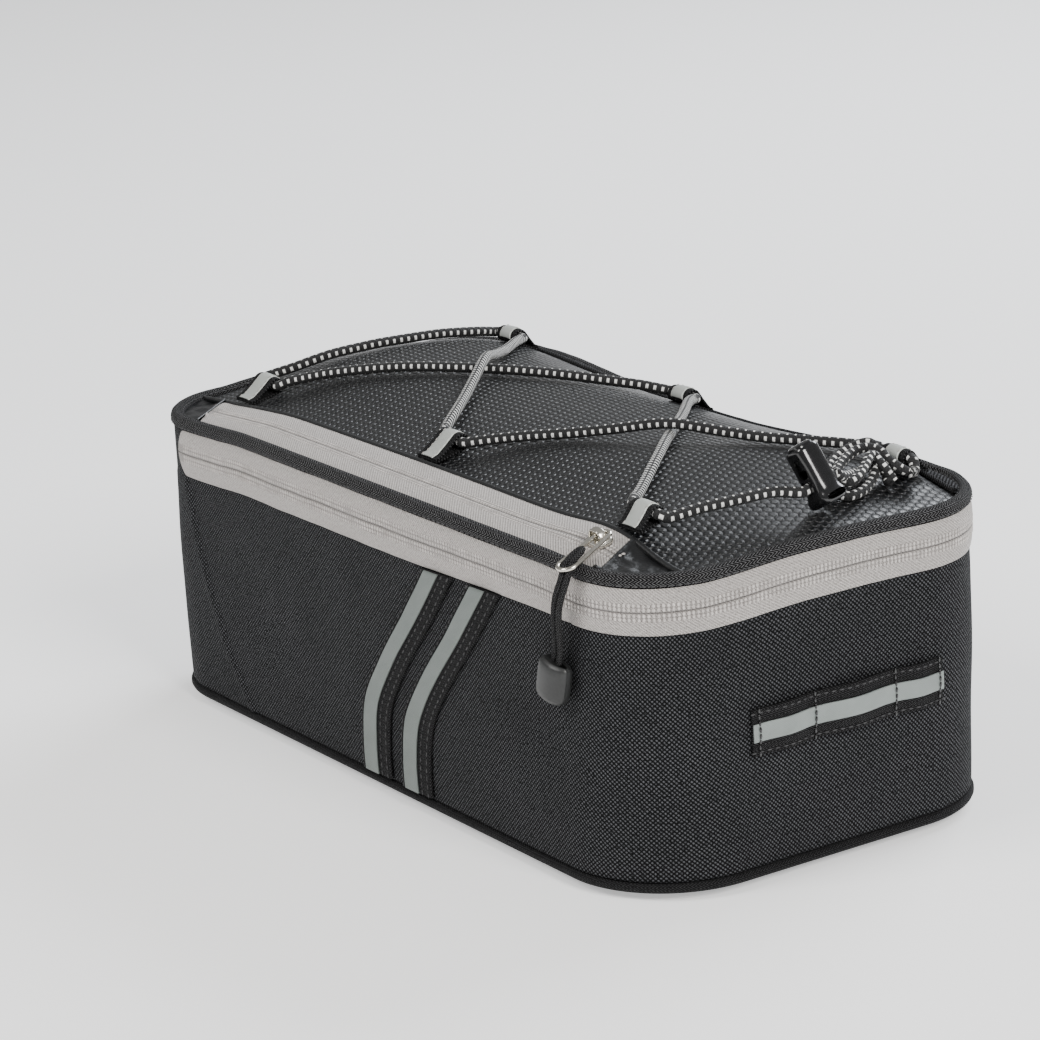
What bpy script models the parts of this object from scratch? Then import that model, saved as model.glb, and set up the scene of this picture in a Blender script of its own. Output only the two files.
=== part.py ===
# Soft rear carrier bag: a padded tub with a zipped, crowned lid, laced over with an elastic cord.
# Metres. +X is the rear wall, -Y the near long side, +Z up.
# Sizes and places are given from the middle of the bag at the bottom edge of its cloth. Once everything
# stands, the model is moved so that the middle of its box at its lowest point is the origin.

import math

import bmesh
import bpy
import numpy as np
from mathutils import Matrix, Vector

# Main form
length = 0.340
width = 0.163
wallHeight = 0.0957
zipTapeHeight = 0.0173
rimRadius = 0.034
baseRadius = 0.042
frontFlare = 0.0047
sideFlare = 0.0015
nearBulge = 0.0036
farPull = 0.0030
rearBulge = 0.0012
farSag = 0.0050
nearRise = 0.0013
tapeSpread = 0.0019
# How much lower the rim is at its corners: front near, rear near, rear far, front far
cornerDrops = (0.0029, 0.0022, 0.0015, 0.0018)
wall = 0.0030
floor = 0.0030
clearance = 0.0003

# Edge trims
pipingSize = 0.0044
pipingProud = 0.0022
bindingHeight = 0.0042
bindingDepth = 0.0038
bindingProud = 0.0010
tapeThickness = 0.0016
tapeProud = 0.0004
tapeStart = 0.0010

# Lid
crownHeight = 0.0146
lidDrop = 0.0022
lidThickness = 0.0020
pocketTapeWidth = 0.0210
farBorderWidth = 0.0095
seamPipingRadius = 0.0011
pocketFrontEnd = 0.0370
pocketRearEnd = 0.0370

# Shares of the half length and of the crown's height, front to rear
lengthProfile = (
    (-1.00, 0.00), (-0.94, 0.30), (-0.87, 0.57), (-0.80, 0.76), (-0.73, 0.91), (-0.65, 0.98), (-0.50, 0.98),
    (-0.25, 0.97), (0.00, 0.99), (0.25, 1.00), (0.48, 0.98), (0.62, 0.90), (0.75, 0.70), (0.85, 0.44),
    (0.93, 0.20), (1.00, 0.00),
)
# Shares of the half width and of the crown's height, near side to far side
crossProfile = (
    (-1.00, 0.00), (-0.69, 0.25), (-0.54, 0.42), (-0.43, 0.60), (-0.33, 0.76), (-0.14, 0.94), (0.05, 1.00),
    (0.20, 0.99), (0.35, 0.95), (0.46, 0.89), (0.55, 0.82), (0.63, 0.72), (0.72, 0.58), (0.85, 0.30),
    (1.00, 0.00),
)
# Shares of the half length and of the sag of the far rim
sagProfile = (
    (-1.00, 0.00), (-0.68, 0.00), (-0.51, 0.30), (-0.35, 0.68), (-0.15, 0.92), (0.06, 1.00), (0.22, 0.90),
    (0.34, 0.62), (0.46, 0.30), (0.60, 0.00), (1.00, 0.00),
)
# Places where the pull of the cord lifts or presses the lid: x, y, height and radius
lidPulls = (
    (0.1280, -0.0520, 0.0036, 0.0180), (0.1300, 0.0500, 0.0026, 0.0180), (0.0520, 0.0220, -0.0024, 0.0220),
    (-0.1190, 0.0450, 0.0012, 0.0180),
)

# Elastic cord and its loops of webbing
cordDiameter = 0.0040
loopWidth = 0.0130
loopThickness = 0.0008
loopEye = 0.0024
loopLift = 0.0006
# Middle of each loop's eye: x, y and height over the lid, front to rear
nearLoops = ((-0.1345, -0.0430, 0.0047), (0.0015, -0.0430, 0.0040), (0.1310, -0.0468, 0.0056))
farLoops = ((-0.1110, 0.0580, 0.0038), (0.0085, 0.0575, 0.0038), (0.1380, 0.0580, 0.0056))

# Cord lock: where its foot stands on the lid, which way it leans, and its own sizes
lockFromRear = 0.0110
lockAcross = 0.0110
lockLift = 0.0052
lockLean = (-0.447, -0.220, 0.870)
lockHeight = 0.0235
lockSide = 0.0110
lockDepth = 0.0104
lockWall = 0.0014
lockFootSize = 0.0140
lockFootHeight = 0.0042
buttonTravel = 0.0030
buttonProud = 0.0016

# Straps
webbingWidth = 0.0265
webbingThickness = 0.0014
reflectorWidth = 0.0100
reflectorThickness = 0.0007
lightStrapHeight = 0.0170
lightTapeHeight = 0.0066
lightStrapZ = 0.0545
lightStrapNear = -0.0360
lightStrapFar = 0.0490
lightStrapSlack = 0.0020
baseStrapWidth = 0.0250
baseStrapThickness = 0.0024
baseStrapLength = 0.1180
baseStraps = (-0.0750, 0.1100)

# Pocket slider and its pull
sliderSize = (0.0100, 0.0078, 0.0026)
sliderX = 0.1300
sliderArch = 0.0028
ringWire = 0.0016
ringLength = 0.0272
ringWidth = 0.0092
pullCordDiameter = 0.0022
gripSize = (0.0140, 0.0078, 0.0152)
gripHang = 0.0358
gripGap = 0.0016
gripShift = (0.0010, -0.0028)

tapeTop = wallHeight + clearance + zipTapeHeight
bindingFoot = tapeTop + clearance
rimHeight = bindingFoot + bindingHeight
lidEdge = rimHeight - lidDrop
lidInset = bindingDepth + clearance

cornerSteps = 6
longSteps = 8
endSteps = 5
near, rearNear, rear, rearFar, far, frontFar, front, frontNear = range(8)
legSteps = (longSteps, cornerSteps, endSteps, cornerSteps, longSteps, cornerSteps, endSteps, cornerSteps)


def clearScene():
    for thing in list(bpy.data.objects):
        bpy.data.objects.remove(thing, do_unlink=True)


def blend(a, b, share):
    return a + (b - a) * share


# Outline and surfaces

def profile(table, share):
    """Smooth value of a table of shares, with level ends."""
    if share <= table[0][0]:
        return table[0][1]
    if share >= table[-1][0]:
        return table[-1][1]
    last = len(table) - 1
    slopes = [0.0] * len(table)
    for i in range(len(table)):
        low, high = max(i - 1, 0), min(i + 1, last)
        slopes[i] = (table[high][1] - table[low][1]) / (table[high][0] - table[low][0])
    i = max(k for k in range(last) if table[k][0] <= share)
    (x0, y0), (x1, y1) = table[i], table[i + 1]
    span = x1 - x0
    t = (share - x0) / span
    return (
        (2 * t ** 3 - 3 * t ** 2 + 1) * y0 + (t ** 3 - 2 * t ** 2 + t) * span * slopes[i]
        + (3 * t ** 2 - 2 * t ** 3) * y1 + (t ** 3 - t ** 2) * span * slopes[i + 1]
    )


def ease(low, high, value):
    """Smooth share of the way of a value from low to high."""
    share = min(1.0, max(0.0, (value - low) / (high - low)))
    return share * share * (3 - 2 * share)


def rimDrop(x, y):
    """How far the rim is down at a point: low at the corners, drawn down by the cord on the far side."""
    along, across = 2 * x / length, 2 * y / width
    frontNear, rearNear, rearFar, frontFar = cornerDrops
    drop = blend(frontNear, frontFar, ease(-0.5, 0.5, across)) * ease(0.50, 0.84, -along)
    drop += blend(rearNear, rearFar, ease(-0.5, 0.5, across)) * ease(0.62, 0.94, along)
    drop *= ease(0.12, 0.62, abs(across))
    drop += farSag * profile(sagProfile, along) * min(1.0, max(0.0, across)) ** 1.5
    middle = max(0.0, 1 - (along / 0.62) ** 2)
    return drop - nearRise * middle * min(1.0, max(0.0, -across)) ** 1.5


def tapeDrop(x, y, height):
    """How far the cloth under the main zip tape is down: most along the near side, at the tape's foot."""
    share = ease(0.62, 0.08, 2 * x / length) * ease(0.30, 0.80, -2 * y / width)
    if height < wallHeight:
        return tapeSpread * share * max(0.0, height / wallHeight) ** 2
    return tapeSpread * share * max(0.0, 1 - (height - wallHeight) / zipTapeHeight)


def edges(height, inset):
    """Half length to the front and to the rear, half width and corner radius at a height."""
    rise = min(1.0, max(0.0, height / rimHeight))
    toFront = length / 2 + frontFlare * (1 - rise) - inset
    toRear = length / 2 - inset
    toSide = width / 2 + sideFlare * (1 - rise) - inset
    radius = baseRadius + (rimRadius - baseRadius) * rise - inset
    return rise, toFront, toRear, toSide, radius


def outline(leg, share, height, inset=0.0):
    """Plan point of the wall on a leg of the outline, from 0 at its start to 1 at its end."""
    rise, toFront, toRear, toSide, radius = edges(height, inset)
    bow = rise * (1 - (2 * share - 1) ** 2)
    frontTangent, rearTangent = radius - toFront, toRear - radius
    if leg == near:
        return blend(frontTangent, rearTangent, share), -toSide - nearBulge * bow
    if leg == far:
        return blend(rearTangent, frontTangent, share), toSide - farPull * bow
    if leg == rear:
        return toRear + rearBulge * bow, (2 * share - 1) * (toSide - radius)
    if leg == front:
        return -toFront, (1 - 2 * share) * (toSide - radius)
    corner = (leg - 1) // 2
    centreX = rearTangent if corner in (0, 1) else frontTangent
    centreY = -(toSide - radius) if corner in (0, 3) else toSide - radius
    angle = math.radians(-90 + 90 * corner + 90 * share)
    return centreX + radius * math.cos(angle), centreY + radius * math.sin(angle)


def wallPoint(station, height, inset=0.0):
    x, y = outline(station[0], station[1], height, inset)
    rise = min(1.0, max(0.0, height / rimHeight))
    return Vector((x, y, height - rise * rimDrop(x, y) - tapeDrop(x, y, height)))


def legLength(height, leg):
    rise, toFront, toRear, toSide, radius = edges(height, 0.0)
    if leg in (near, far):
        return toFront + toRear - 2 * radius
    return 2 * (toSide - radius)


def shareAt(leg, height, place):
    """Share of a straight leg at a place along X on a long side, or along Y on an end."""
    _, toFront, toRear, toSide, radius = edges(height, 0.0)
    if leg == near:
        return (place + toFront - radius) / legLength(height, near)
    if leg == far:
        return (toRear - radius - place) / legLength(height, far)
    return (place + toSide - radius) / legLength(height, rear)


def lidZ(x, y):
    """Top of the lid's cloth."""
    along, across = 2 * x / length, 2 * y / width
    crown = profile(lengthProfile, along) * profile(crossProfile, across)
    pull = sum(
        rise * math.exp(-((x - atX) ** 2 + (y - atY) ** 2) / (2 * radius ** 2))
        for atX, atY, rise, radius in lidPulls
    )
    pull *= ease(1.0, 0.80, abs(along)) * ease(1.0, 0.80, abs(across))
    return lidEdge + crownHeight * crown + pull - rimDrop(x, y)


def lidEndX(y, inset, rearward):
    """Where the lid's inner edge lies along X at a place across the bag."""
    _, toFront, toRear, toSide, radius = edges(rimHeight, inset)
    reach = toRear if rearward else toFront
    past = abs(y) - (toSide - radius)
    if past <= 0:
        bow = rearBulge * (1 - (y / (toSide - radius)) ** 2) if rearward else 0.0
        return (reach + bow) * (1 if rearward else -1)
    past = min(past, radius)
    return (reach - radius + math.sqrt(radius ** 2 - past ** 2)) * (1 if rearward else -1)


def lidSideY(x, inset, farSide):
    """Where the lid's inner edge lies along Y at a place along the bag."""
    _, toFront, toRear, toSide, radius = edges(rimHeight, inset)
    share = (x + toFront - radius) / (toFront + toRear - 2 * radius)
    bow = max(0.0, 1 - (2 * share - 1) ** 2)
    return toSide - farPull * bow if farSide else -toSide - nearBulge * bow


# Builders

def material(name, colour, roughness, metallic=0.0):
    made = bpy.data.materials.new(name)
    made.use_nodes = True
    made.diffuse_color = (*colour, 1.0)
    shader = made.node_tree.nodes["Principled BSDF"]
    shader.inputs["Base Color"].default_value = (*colour, 1.0)
    shader.inputs["Roughness"].default_value = roughness
    shader.inputs["Metallic"].default_value = metallic
    return made


def solid(name, points, faces, look, smooth=30):
    """One closed body with its faces turned outwards."""
    mesh = bpy.data.meshes.new(name)
    mesh.from_pydata([Vector(p) for p in points], [], faces)
    work = bmesh.new()
    work.from_mesh(mesh)
    bmesh.ops.recalc_face_normals(work, faces=work.faces)
    work.to_mesh(mesh)
    work.free()
    mesh.materials.append(look)
    mesh.shade_smooth()
    mesh.set_sharp_from_angle(angle=math.radians(smooth))
    thing = bpy.data.objects.new(name, mesh)
    bpy.context.collection.objects.link(thing)
    return thing


def sweep(name, rings, look, closed=False):
    """Joins sections with the same number of points, and caps the ends of an open run."""
    count = len(rings[0])
    points = [p for ring in rings for p in ring]
    faces = []
    for i in range(len(rings) if closed else len(rings) - 1):
        a, b = i * count, (i + 1) % len(rings) * count
        for k in range(count):
            n = (k + 1) % count
            faces.append((a + k, a + n, b + n, b + k))
    if not closed:
        faces.append(tuple(range(count)))
        faces.append(tuple(reversed(range((len(rings) - 1) * count, len(rings) * count))))
    return solid(name, points, faces, look)


def sheetSolid(name, top, bottom, look):
    """Closed sheet between two grids of points with the same rows and columns."""
    rows, columns = len(top), len(top[0])
    offset = rows * columns
    points = [p for row in top for p in row] + [p for row in bottom for p in row]
    faces = []
    for i in range(rows - 1):
        for j in range(columns - 1):
            a = i * columns + j
            faces.append((a, a + 1, a + columns + 1, a + columns))
            faces.append((offset + a, offset + a + columns, offset + a + columns + 1, offset + a + 1))
    rim = [j for j in range(columns)]
    rim += [(i + 1) * columns - 1 for i in range(1, rows)]
    rim += [(rows - 1) * columns + j for j in range(columns - 2, -1, -1)]
    rim += [i * columns for i in range(rows - 2, 0, -1)]
    for k, a in enumerate(rim):
        b = rim[(k + 1) % len(rim)]
        faces.append((a, b, offset + b, offset + a))
    return solid(name, points, faces, look)


def tube(name, points, diameter, look, cyclic=False):
    """Round cord or wire on a run of points."""
    curve = bpy.data.curves.new(name, "CURVE")
    curve.dimensions = "3D"
    curve.bevel_depth = diameter / 2
    curve.bevel_resolution = 2
    curve.use_fill_caps = True
    curve.render_resolution_u = 0
    spline = curve.splines.new("POLY")
    spline.points.add(len(points) - 1)
    for slot, point in zip(spline.points, points):
        slot.co = (*point, 1.0)
    spline.use_cyclic_u = cyclic
    curve.materials.append(look)
    thing = bpy.data.objects.new(name, curve)
    bpy.context.collection.objects.link(thing)
    return thing


def stand(name, centre, axes):
    """Empty that holds pieces built along its own three axes."""
    frame = bpy.data.objects.new(name, None)
    turn = Matrix((axes[0], axes[1], axes[2])).transposed().to_4x4()
    frame.matrix_world = Matrix.Translation(centre) @ turn
    bpy.context.collection.objects.link(frame)
    return frame


def block(name, frame, centre, size, look, bevel=0.0):
    """Box on the axes of its frame, with rounded edges; its origin is the frame's."""
    points = []
    for i in (-0.5, 0.5):
        for j in (-0.5, 0.5):
            for k in (-0.5, 0.5):
                points.append((centre[0] + size[0] * i, centre[1] + size[1] * j, centre[2] + size[2] * k))
    faces = [(0, 1, 3, 2), (4, 6, 7, 5), (0, 4, 5, 1), (2, 3, 7, 6), (0, 2, 6, 4), (1, 5, 7, 3)]
    thing = solid(name, points, faces, look)
    thing.parent = frame
    if bevel:
        rounding = thing.modifiers.new("rounding", "BEVEL")
        rounding.width = bevel
        rounding.segments = 2
    return thing


def cut(target, cutter, operation="DIFFERENCE"):
    cutter.hide_render = True
    cutter.display_type = "WIRE"
    step = target.modifiers.new(cutter.name, "BOOLEAN")
    step.operation = operation
    step.solver = "EXACT"
    step.object = cutter


def smoothRoute(route, spacing):
    """Points along a smooth curve through a route, with its own points kept."""
    knots = [Vector(p) for p in route]
    knots = [2 * knots[0] - knots[1]] + knots + [2 * knots[-1] - knots[-2]]
    fine = []
    for a, b, c, d in zip(knots, knots[1:], knots[2:], knots[3:]):
        for step in range(12):
            t = step / 12
            fine.append(
                0.5 * (2 * b + (c - a) * t + (2 * a - 5 * b + 4 * c - d) * t * t
                       + (3 * b - a - 3 * c + d) * t ** 3)
            )
    fine.append(knots[-2])
    walked = [0.0]
    for p, q in zip(fine, fine[1:]):
        walked.append(walked[-1] + (q - p).length)
    spots = []
    for i in range(len(route) - 1):
        first, last = walked[12 * i], walked[12 * i + 12]
        count = max(1, round((last - first) / spacing))
        spots += [blend(first, last, k / count) for k in range(count)]
    spots.append(walked[-1])
    return [Vector([float(np.interp(s, walked, [p[k] for p in fine])) for k in range(3)]) for s in spots]


# Looks
cloth = material("black_cloth", (0.012, 0.012, 0.013), 0.85)
greyTape = material("grey_zip_tape", (0.42, 0.39, 0.37), 0.80)
webbing = material("black_webbing", (0.015, 0.015, 0.016), 0.80)
dimpled = material("dimpled_panel", (0.020, 0.021, 0.023), 0.38)
gloss = material("gloss_patch", (0.018, 0.018, 0.019), 0.25)
reflective = material("reflective_tape", (0.26, 0.29, 0.28), 0.45)
elastic = material("elastic_cord", (0.020, 0.020, 0.020), 0.70)
nickel = material("nickel", (0.72, 0.69, 0.62), 0.22, 1.0)
rubber = material("rubber_grip", (0.030, 0.031, 0.033), 0.55)
lockPlastic = material("lock_plastic", (0.010, 0.010, 0.011), 0.22)


# Main form

def around(first, last):
    return [(leg, step / legSteps[leg]) for leg in range(first, last + 1) for step in range(legSteps[leg])]


def makeBody():
    """Tub with a floor; its wall is low under the zip and high at the front."""
    startShare = tapeStart / legLength(wallHeight, near)
    stations = [((near, 0.0), tapeTop), ((near, startShare), wallHeight)]
    stations += [(s, wallHeight) for s in around(near, far)[1:]]
    stations += [((far, 1 - startShare), wallHeight), ((frontFar, 0.0), tapeTop)]
    stations += [(s, tapeTop) for s in around(frontFar, frontNear)[1:]]
    notch = pipingSize + clearance - pipingProud
    notchTop = pipingSize + clearance
    lip = notchTop + 0.0005
    points = []
    outer = ((0.0, notch), (notchTop, notch), (lip, 0.0))
    inner = ((floor, notch + wall), (notchTop, notch + wall), (notchTop + wall, wall))
    shares = (0.30, 0.60, 0.85, 1.0)
    rows = []
    for height, inset in outer:
        rows.append([wallPoint(s, height, inset) for s, _ in stations])
    for share in shares:
        rows.append([wallPoint(s, lip + (top - lip) * share, 0.0) for s, top in stations])
    for share in reversed(shares):
        low = notchTop + wall
        rows.append([wallPoint(s, low + (top - low) * share, wall) for s, top in stations])
    for height, inset in reversed(inner):
        rows.append([wallPoint(s, height, inset) for s, _ in stations])
    count = len(stations)
    for row in rows:
        points += row
    faces = []
    for r in range(len(rows) - 1):
        for k in range(count):
            n = (k + 1) % count
            faces.append((r * count + k, r * count + n, (r + 1) * count + n, (r + 1) * count + k))
    faces.append(tuple(range(count)))
    faces.append(tuple(reversed(range((len(rows) - 1) * count, len(rows) * count))))
    solid("body_shell", points, faces, cloth)


def makeEdges():
    """Rolled rim at the base, and the binding round the rim."""
    radius = pipingSize / 2
    middle = radius - pipingProud
    rings = []
    for station in around(near, frontNear):
        ring = []
        for k in range(8):
            angle = math.radians(22.5 + 45 * k)
            inset = middle + radius * math.cos(angle)
            point = wallPoint(station, 0.0, inset)
            point.z = radius + radius * math.sin(angle)
            ring.append(point)
        rings.append(ring)
    sweep("base_piping", rings, cloth, closed=True)
    section = (
        (-bindingProud, 0.0), (-bindingProud - 0.0004, 0.55), (-bindingProud * 0.4, 0.90), (0.0010, 1.0),
        (bindingDepth - 0.0012, 0.96), (bindingDepth, 0.70), (bindingDepth, 0.0),
    )
    rings = []
    for station in around(near, frontNear):
        rings.append([wallPoint(station, bindingFoot + bindingHeight * s, inset) for inset, s in section])
    sweep("rim_binding", rings, webbing, closed=True)


def makeMainTape():
    start = (tapeStart + clearance) / legLength(wallHeight, near)
    stations = [(near, start)] + around(near, far)[1:] + [(far, 1 - start)]
    low, high = wallHeight + clearance, tapeTop
    middle = (low + high) / 2
    inside = tapeThickness - tapeProud
    rings = []
    for s in stations:
        rings.append([
            wallPoint(s, low, -tapeProud), wallPoint(s, middle, -tapeProud - 0.0004),
            wallPoint(s, high, -tapeProud), wallPoint(s, high, inside), wallPoint(s, low, inside),
        ])
    sweep("main_zip_band", rings, greyTape)


# Lid

seamNear = -(width / 2 - lidInset - pocketTapeWidth)
seamFar = width / 2 - lidInset - farBorderWidth
seamGap = seamPipingRadius + clearance


def lidSheet(name, rowsOfPoints, look, thickness=lidThickness):
    top = [[Vector((x, y, lidZ(x, y))) for x, y in row] for row in rowsOfPoints]
    bottom = [[p - Vector((0, 0, thickness)) for p in row] for row in top]
    sheetSolid(name, top, bottom, look)


def makeLid():
    rows, columns = 14, 26
    grid = []
    for i in range(rows + 1):
        y = blend(seamNear + seamGap, seamFar - seamGap, i / rows)
        low, high = lidEndX(y, lidInset, False), lidEndX(y, lidInset, True)
        shares = [0.5 - 0.5 * math.cos(math.pi * j / columns) for j in range(columns + 1)]
        shares = [blend(j / columns, s, 0.45) for j, s in enumerate(shares)]
        grid.append([(blend(low, high, s), y) for s in shares])
    lidSheet("lid_panel", grid, dimpled)

    tapeFront = -(length / 2 - pocketFrontEnd)
    tapeRear = length / 2 - pocketRearEnd
    grid = []
    for i in range(4):
        row = []
        for j in range(19):
            x = blend(tapeFront, tapeRear, j / 18)
            row.append((x, blend(lidSideY(x, lidInset, False), seamNear - seamGap, i / 3)))
        grid.append(row)
    lidSheet("pocket_zip_band", grid, greyTape)

    for name, end, rearward in (("front", tapeFront, False), ("rear", tapeRear, True)):
        sign = 1 if rearward else -1
        start = end + sign * clearance
        _, _, _, toSide, radius = edges(rimHeight, lidInset)
        grid = []
        for i in range(7):
            share = i / 6
            y = blend(-toSide + 0.0002, seamNear - seamGap, share)
            grid.append([(blend(start, lidEndX(y, lidInset, rearward), j / 6), y) for j in range(7)])
        lidSheet("pocket_corner_" + name, grid, gloss)

    grid = []
    for i in range(5):
        y = blend(seamFar + seamGap, width / 2 - lidInset, math.sin(math.pi / 2 * i / 4))
        low, high = lidEndX(y, lidInset, False), lidEndX(y, lidInset, True)
        row = []
        for j in range(23):
            x = blend(low, high, j / 22)
            inner = seamFar + seamGap
            reach = (lidSideY(x, lidInset, True) - inner) / (width / 2 - lidInset - inner)
            row.append((x, inner + (y - inner) * min(1.0, reach)))
        grid.append(row)
    lidSheet("lid_border_far", grid, cloth)

    for name, y in (("near_piping", seamNear), ("far_piping", seamFar)):
        low = lidEndX(y, lidInset, False) + seamPipingRadius
        high = lidEndX(y, lidInset, True) - seamPipingRadius
        places = [blend(low, high, k / 30) for k in range(31)]
        tube(name, [(x, y, lidZ(x, y)) for x in places], 2 * seamPipingRadius, webbing)


# Cord loops and the cord

def makeLoop(name, seam, eye):
    """Folded webbing: flat at the seam, open round the cord at its tip."""
    x, y, lift = eye
    inward = 1 if y > seam else -1
    middle = lidZ(x, y) + lift
    start = seam + inward * (seamGap + clearance)
    foot = max(lidZ(x + side * loopWidth / 2, start) for side in (-1, 0, 1)) + loopLift
    lean = math.atan2(middle - foot, abs(y - start))
    arc = [math.radians(a) + lean for a in range(100, -101, -25)]
    rim = loopEye + loopThickness
    outer = [(y + inward * rim * math.cos(a), middle + rim * math.sin(a)) for a in arc]
    outer += [(start, foot), (start, foot + 2 * loopThickness)]
    hole = [(y + inward * loopEye * math.cos(a), middle + loopEye * math.sin(a)) for a in arc]
    tail, rise = blend(start, y, 0.25), blend(foot + loopThickness, middle, 0.25)
    hole += [(tail, rise - loopThickness * 0.15), (tail, rise + loopThickness * 0.15)]
    points = [(x + side * loopWidth / 2, at, z) for side in (-1, 1) for shape in (outer, hole) for at, z in shape]
    n = len(outer)
    faces = []
    for k in range(n):
        m = (k + 1) % n
        faces.append((k, m, 2 * n + m, 2 * n + k))
        faces.append((n + k, 3 * n + k, 3 * n + m, n + m))
        faces.append((k, n + k, n + m, m))
        faces.append((2 * n + k, 2 * n + m, 3 * n + m, 3 * n + k))
    solid(name, points, faces, webbing)


def makeLoops():
    names = ("front", "middle", "rear")
    for name, eye in zip(names, nearLoops):
        makeLoop("cord_loop_near_" + name, seamNear, eye)
    for name, eye in zip(names, farLoops):
        makeLoop("cord_loop_far_" + name, seamFar, eye)


# Spans of the elastic cord after the lock: x, y and the height of its middle over the lid
low = 0.0027
high = 0.0069
cordSpans = (
    ((0.1518, -0.0069, 0.0098), (0.1494, -0.0147, 0.0092), (0.1469, -0.0226, 0.0084),
     (0.1437, -0.0328, 0.0078), (0.1420, -0.0405, 0.0072), (0.1407, -0.0447, 0.0066)),
    ((0.1190, -0.0440, 0.0048), (0.1130, -0.0375, 0.0036), (0.1040, -0.0280, low), (0.0920, -0.0149, low),
     (0.0750, 0.0020, low), (0.0585, 0.0176, low), (0.0410, 0.0338, low), (0.0270, 0.0460, 0.0031),
     (0.0195, 0.0535, 0.0035)),
    ((-0.0030, 0.0545, 0.0036), (-0.0095, 0.0490, 0.0033), (-0.0200, 0.0405, low), (-0.0352, 0.0290, low),
     (-0.0519, 0.0161, low), (-0.0764, -0.0030, low), (-0.0930, -0.0158, low), (-0.1096, -0.0287, 0.0030),
     (-0.1185, -0.0360, 0.0038), (-0.1238, -0.0408, 0.0044)),
    ((-0.1443, -0.0405, 0.0048), (-0.1420, -0.0355, 0.0045), (-0.1375, -0.0290, 0.0039),
     (-0.1345, -0.0219, 0.0036), (-0.1325, -0.0138, 0.0032), (-0.1305, -0.0028, 0.0028),
     (-0.1280, 0.0072, low), (-0.1245, 0.0279, low), (-0.1230, 0.0383, 0.0028), (-0.1222, 0.0480, 0.0031),
     (-0.1224, 0.0538, 0.0035), (-0.1213, 0.0574, 0.0038)),
    ((-0.0998, 0.0550, 0.0036), (-0.0940, 0.0485, 0.0031), (-0.0818, 0.0355, low), (-0.0700, 0.0232, 0.0044),
     (-0.0582, 0.0112, high), (-0.0455, -0.0018, 0.0045), (-0.0328, -0.0148, low), (-0.0219, -0.0258, 0.0030),
     (-0.0140, -0.0345, 0.0036), (-0.0085, -0.0405, 0.0039)),
    ((0.0128, -0.0405, 0.0040), (0.0190, -0.0345, 0.0034), (0.0276, -0.0270, low), (0.0400, -0.0169, low),
     (0.0530, -0.0063, 0.0042), (0.0695, 0.0072, high), (0.0860, 0.0207, 0.0042), (0.0975, 0.0302, low),
     (0.1080, 0.0388, low), (0.1180, 0.0470, 0.0032), (0.1240, 0.0522, 0.0040), (0.1282, 0.0562, 0.0050)),
    ((0.1486, 0.0566, 0.0052), (0.1500, 0.0528, 0.0056)),
)
cordSpacing = 0.0120


def throughLoop(eye, way):
    """Straight piece of the cord's route in a loop, towards the front or the rear."""
    x, y, lift = eye
    reach = loopWidth / 2 + 0.0012
    return [Vector((x + way * reach * k, y, lidZ(x, y) + lift)) for k in (-1, 0, 1)]


def makeCord():
    lean, through, side = lockFrame()
    middle = passageMiddle()
    route = [middle + through * reach for reach in (0.0078, 0.0030, -0.0030, -0.0078)]
    laced = ((nearLoops[2], -1), (farLoops[1], -1), (nearLoops[0], -1),
             (farLoops[0], 1), (nearLoops[1], 1), (farLoops[2], 1))
    for span, loop in zip(cordSpans, laced + (None,)):
        route += [Vector((x, y, lidZ(x, y) + lift)) for x, y, lift in span]
        if loop:
            route += throughLoop(*loop)
    points = smoothRoute(route, cordSpacing)
    tube("bungee_cord", points, cordDiameter, elastic)


# Tied end of the cord: x, y and height over the lid at its two ends, and its girth
bundleEnds = ((0.1500, 0.0230, 0.0080), (0.1440, 0.0440, 0.0066))
bundleDiameter = 0.0120
# Share of the way between the ends, distance beyond it and girth there, as shares of the radius
bundleRings = (
    (0.0, -0.85, 0.50), (0.0, -0.50, 0.87), (0.0, 0.0, 1.00), (0.5, 0.0, 0.92),
    (1.0, 0.0, 1.00), (1.0, 0.50, 0.87), (1.0, 0.85, 0.50),
)


def makeBundle():
    ends = [Vector((x, y, lidZ(x, y) + lift)) for x, y, lift in bundleEnds]
    along = (ends[1] - ends[0]).normalized()
    across = along.cross(Vector((0, 0, 1))).normalized()
    upward = across.cross(along)
    radius = bundleDiameter / 2
    rings = []
    for end, offset, share in bundleRings:
        middle = ends[0].lerp(ends[1], end) + along * radius * offset
        ring = []
        for k in range(10):
            angle = 2 * math.pi * k / 10
            ring.append(middle + (across * math.cos(angle) + upward * math.sin(angle)) * radius * share)
        rings.append(ring)
    sweep("cord_bundle", rings, elastic)


# Cord lock

def lockFoot():
    x = length / 2 - lockFromRear
    return Vector((x, lockAcross, lidZ(x, lockAcross) + lockLift))


def lockFrame():
    lean = Vector(lockLean).normalized()
    through = (Vector((0, 1, 0)) - lean * lean.y).normalized()
    return lean, through, lean.cross(through) * -1


passage = cordDiameter + 4 * clearance
passageAt = lockFootHeight + lockWall + passage / 2
passageOffset = 0.0012


def passageMiddle():
    lean, through, side = lockFrame()
    return lockFoot() + lean * passageAt - side * passageOffset


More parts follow.
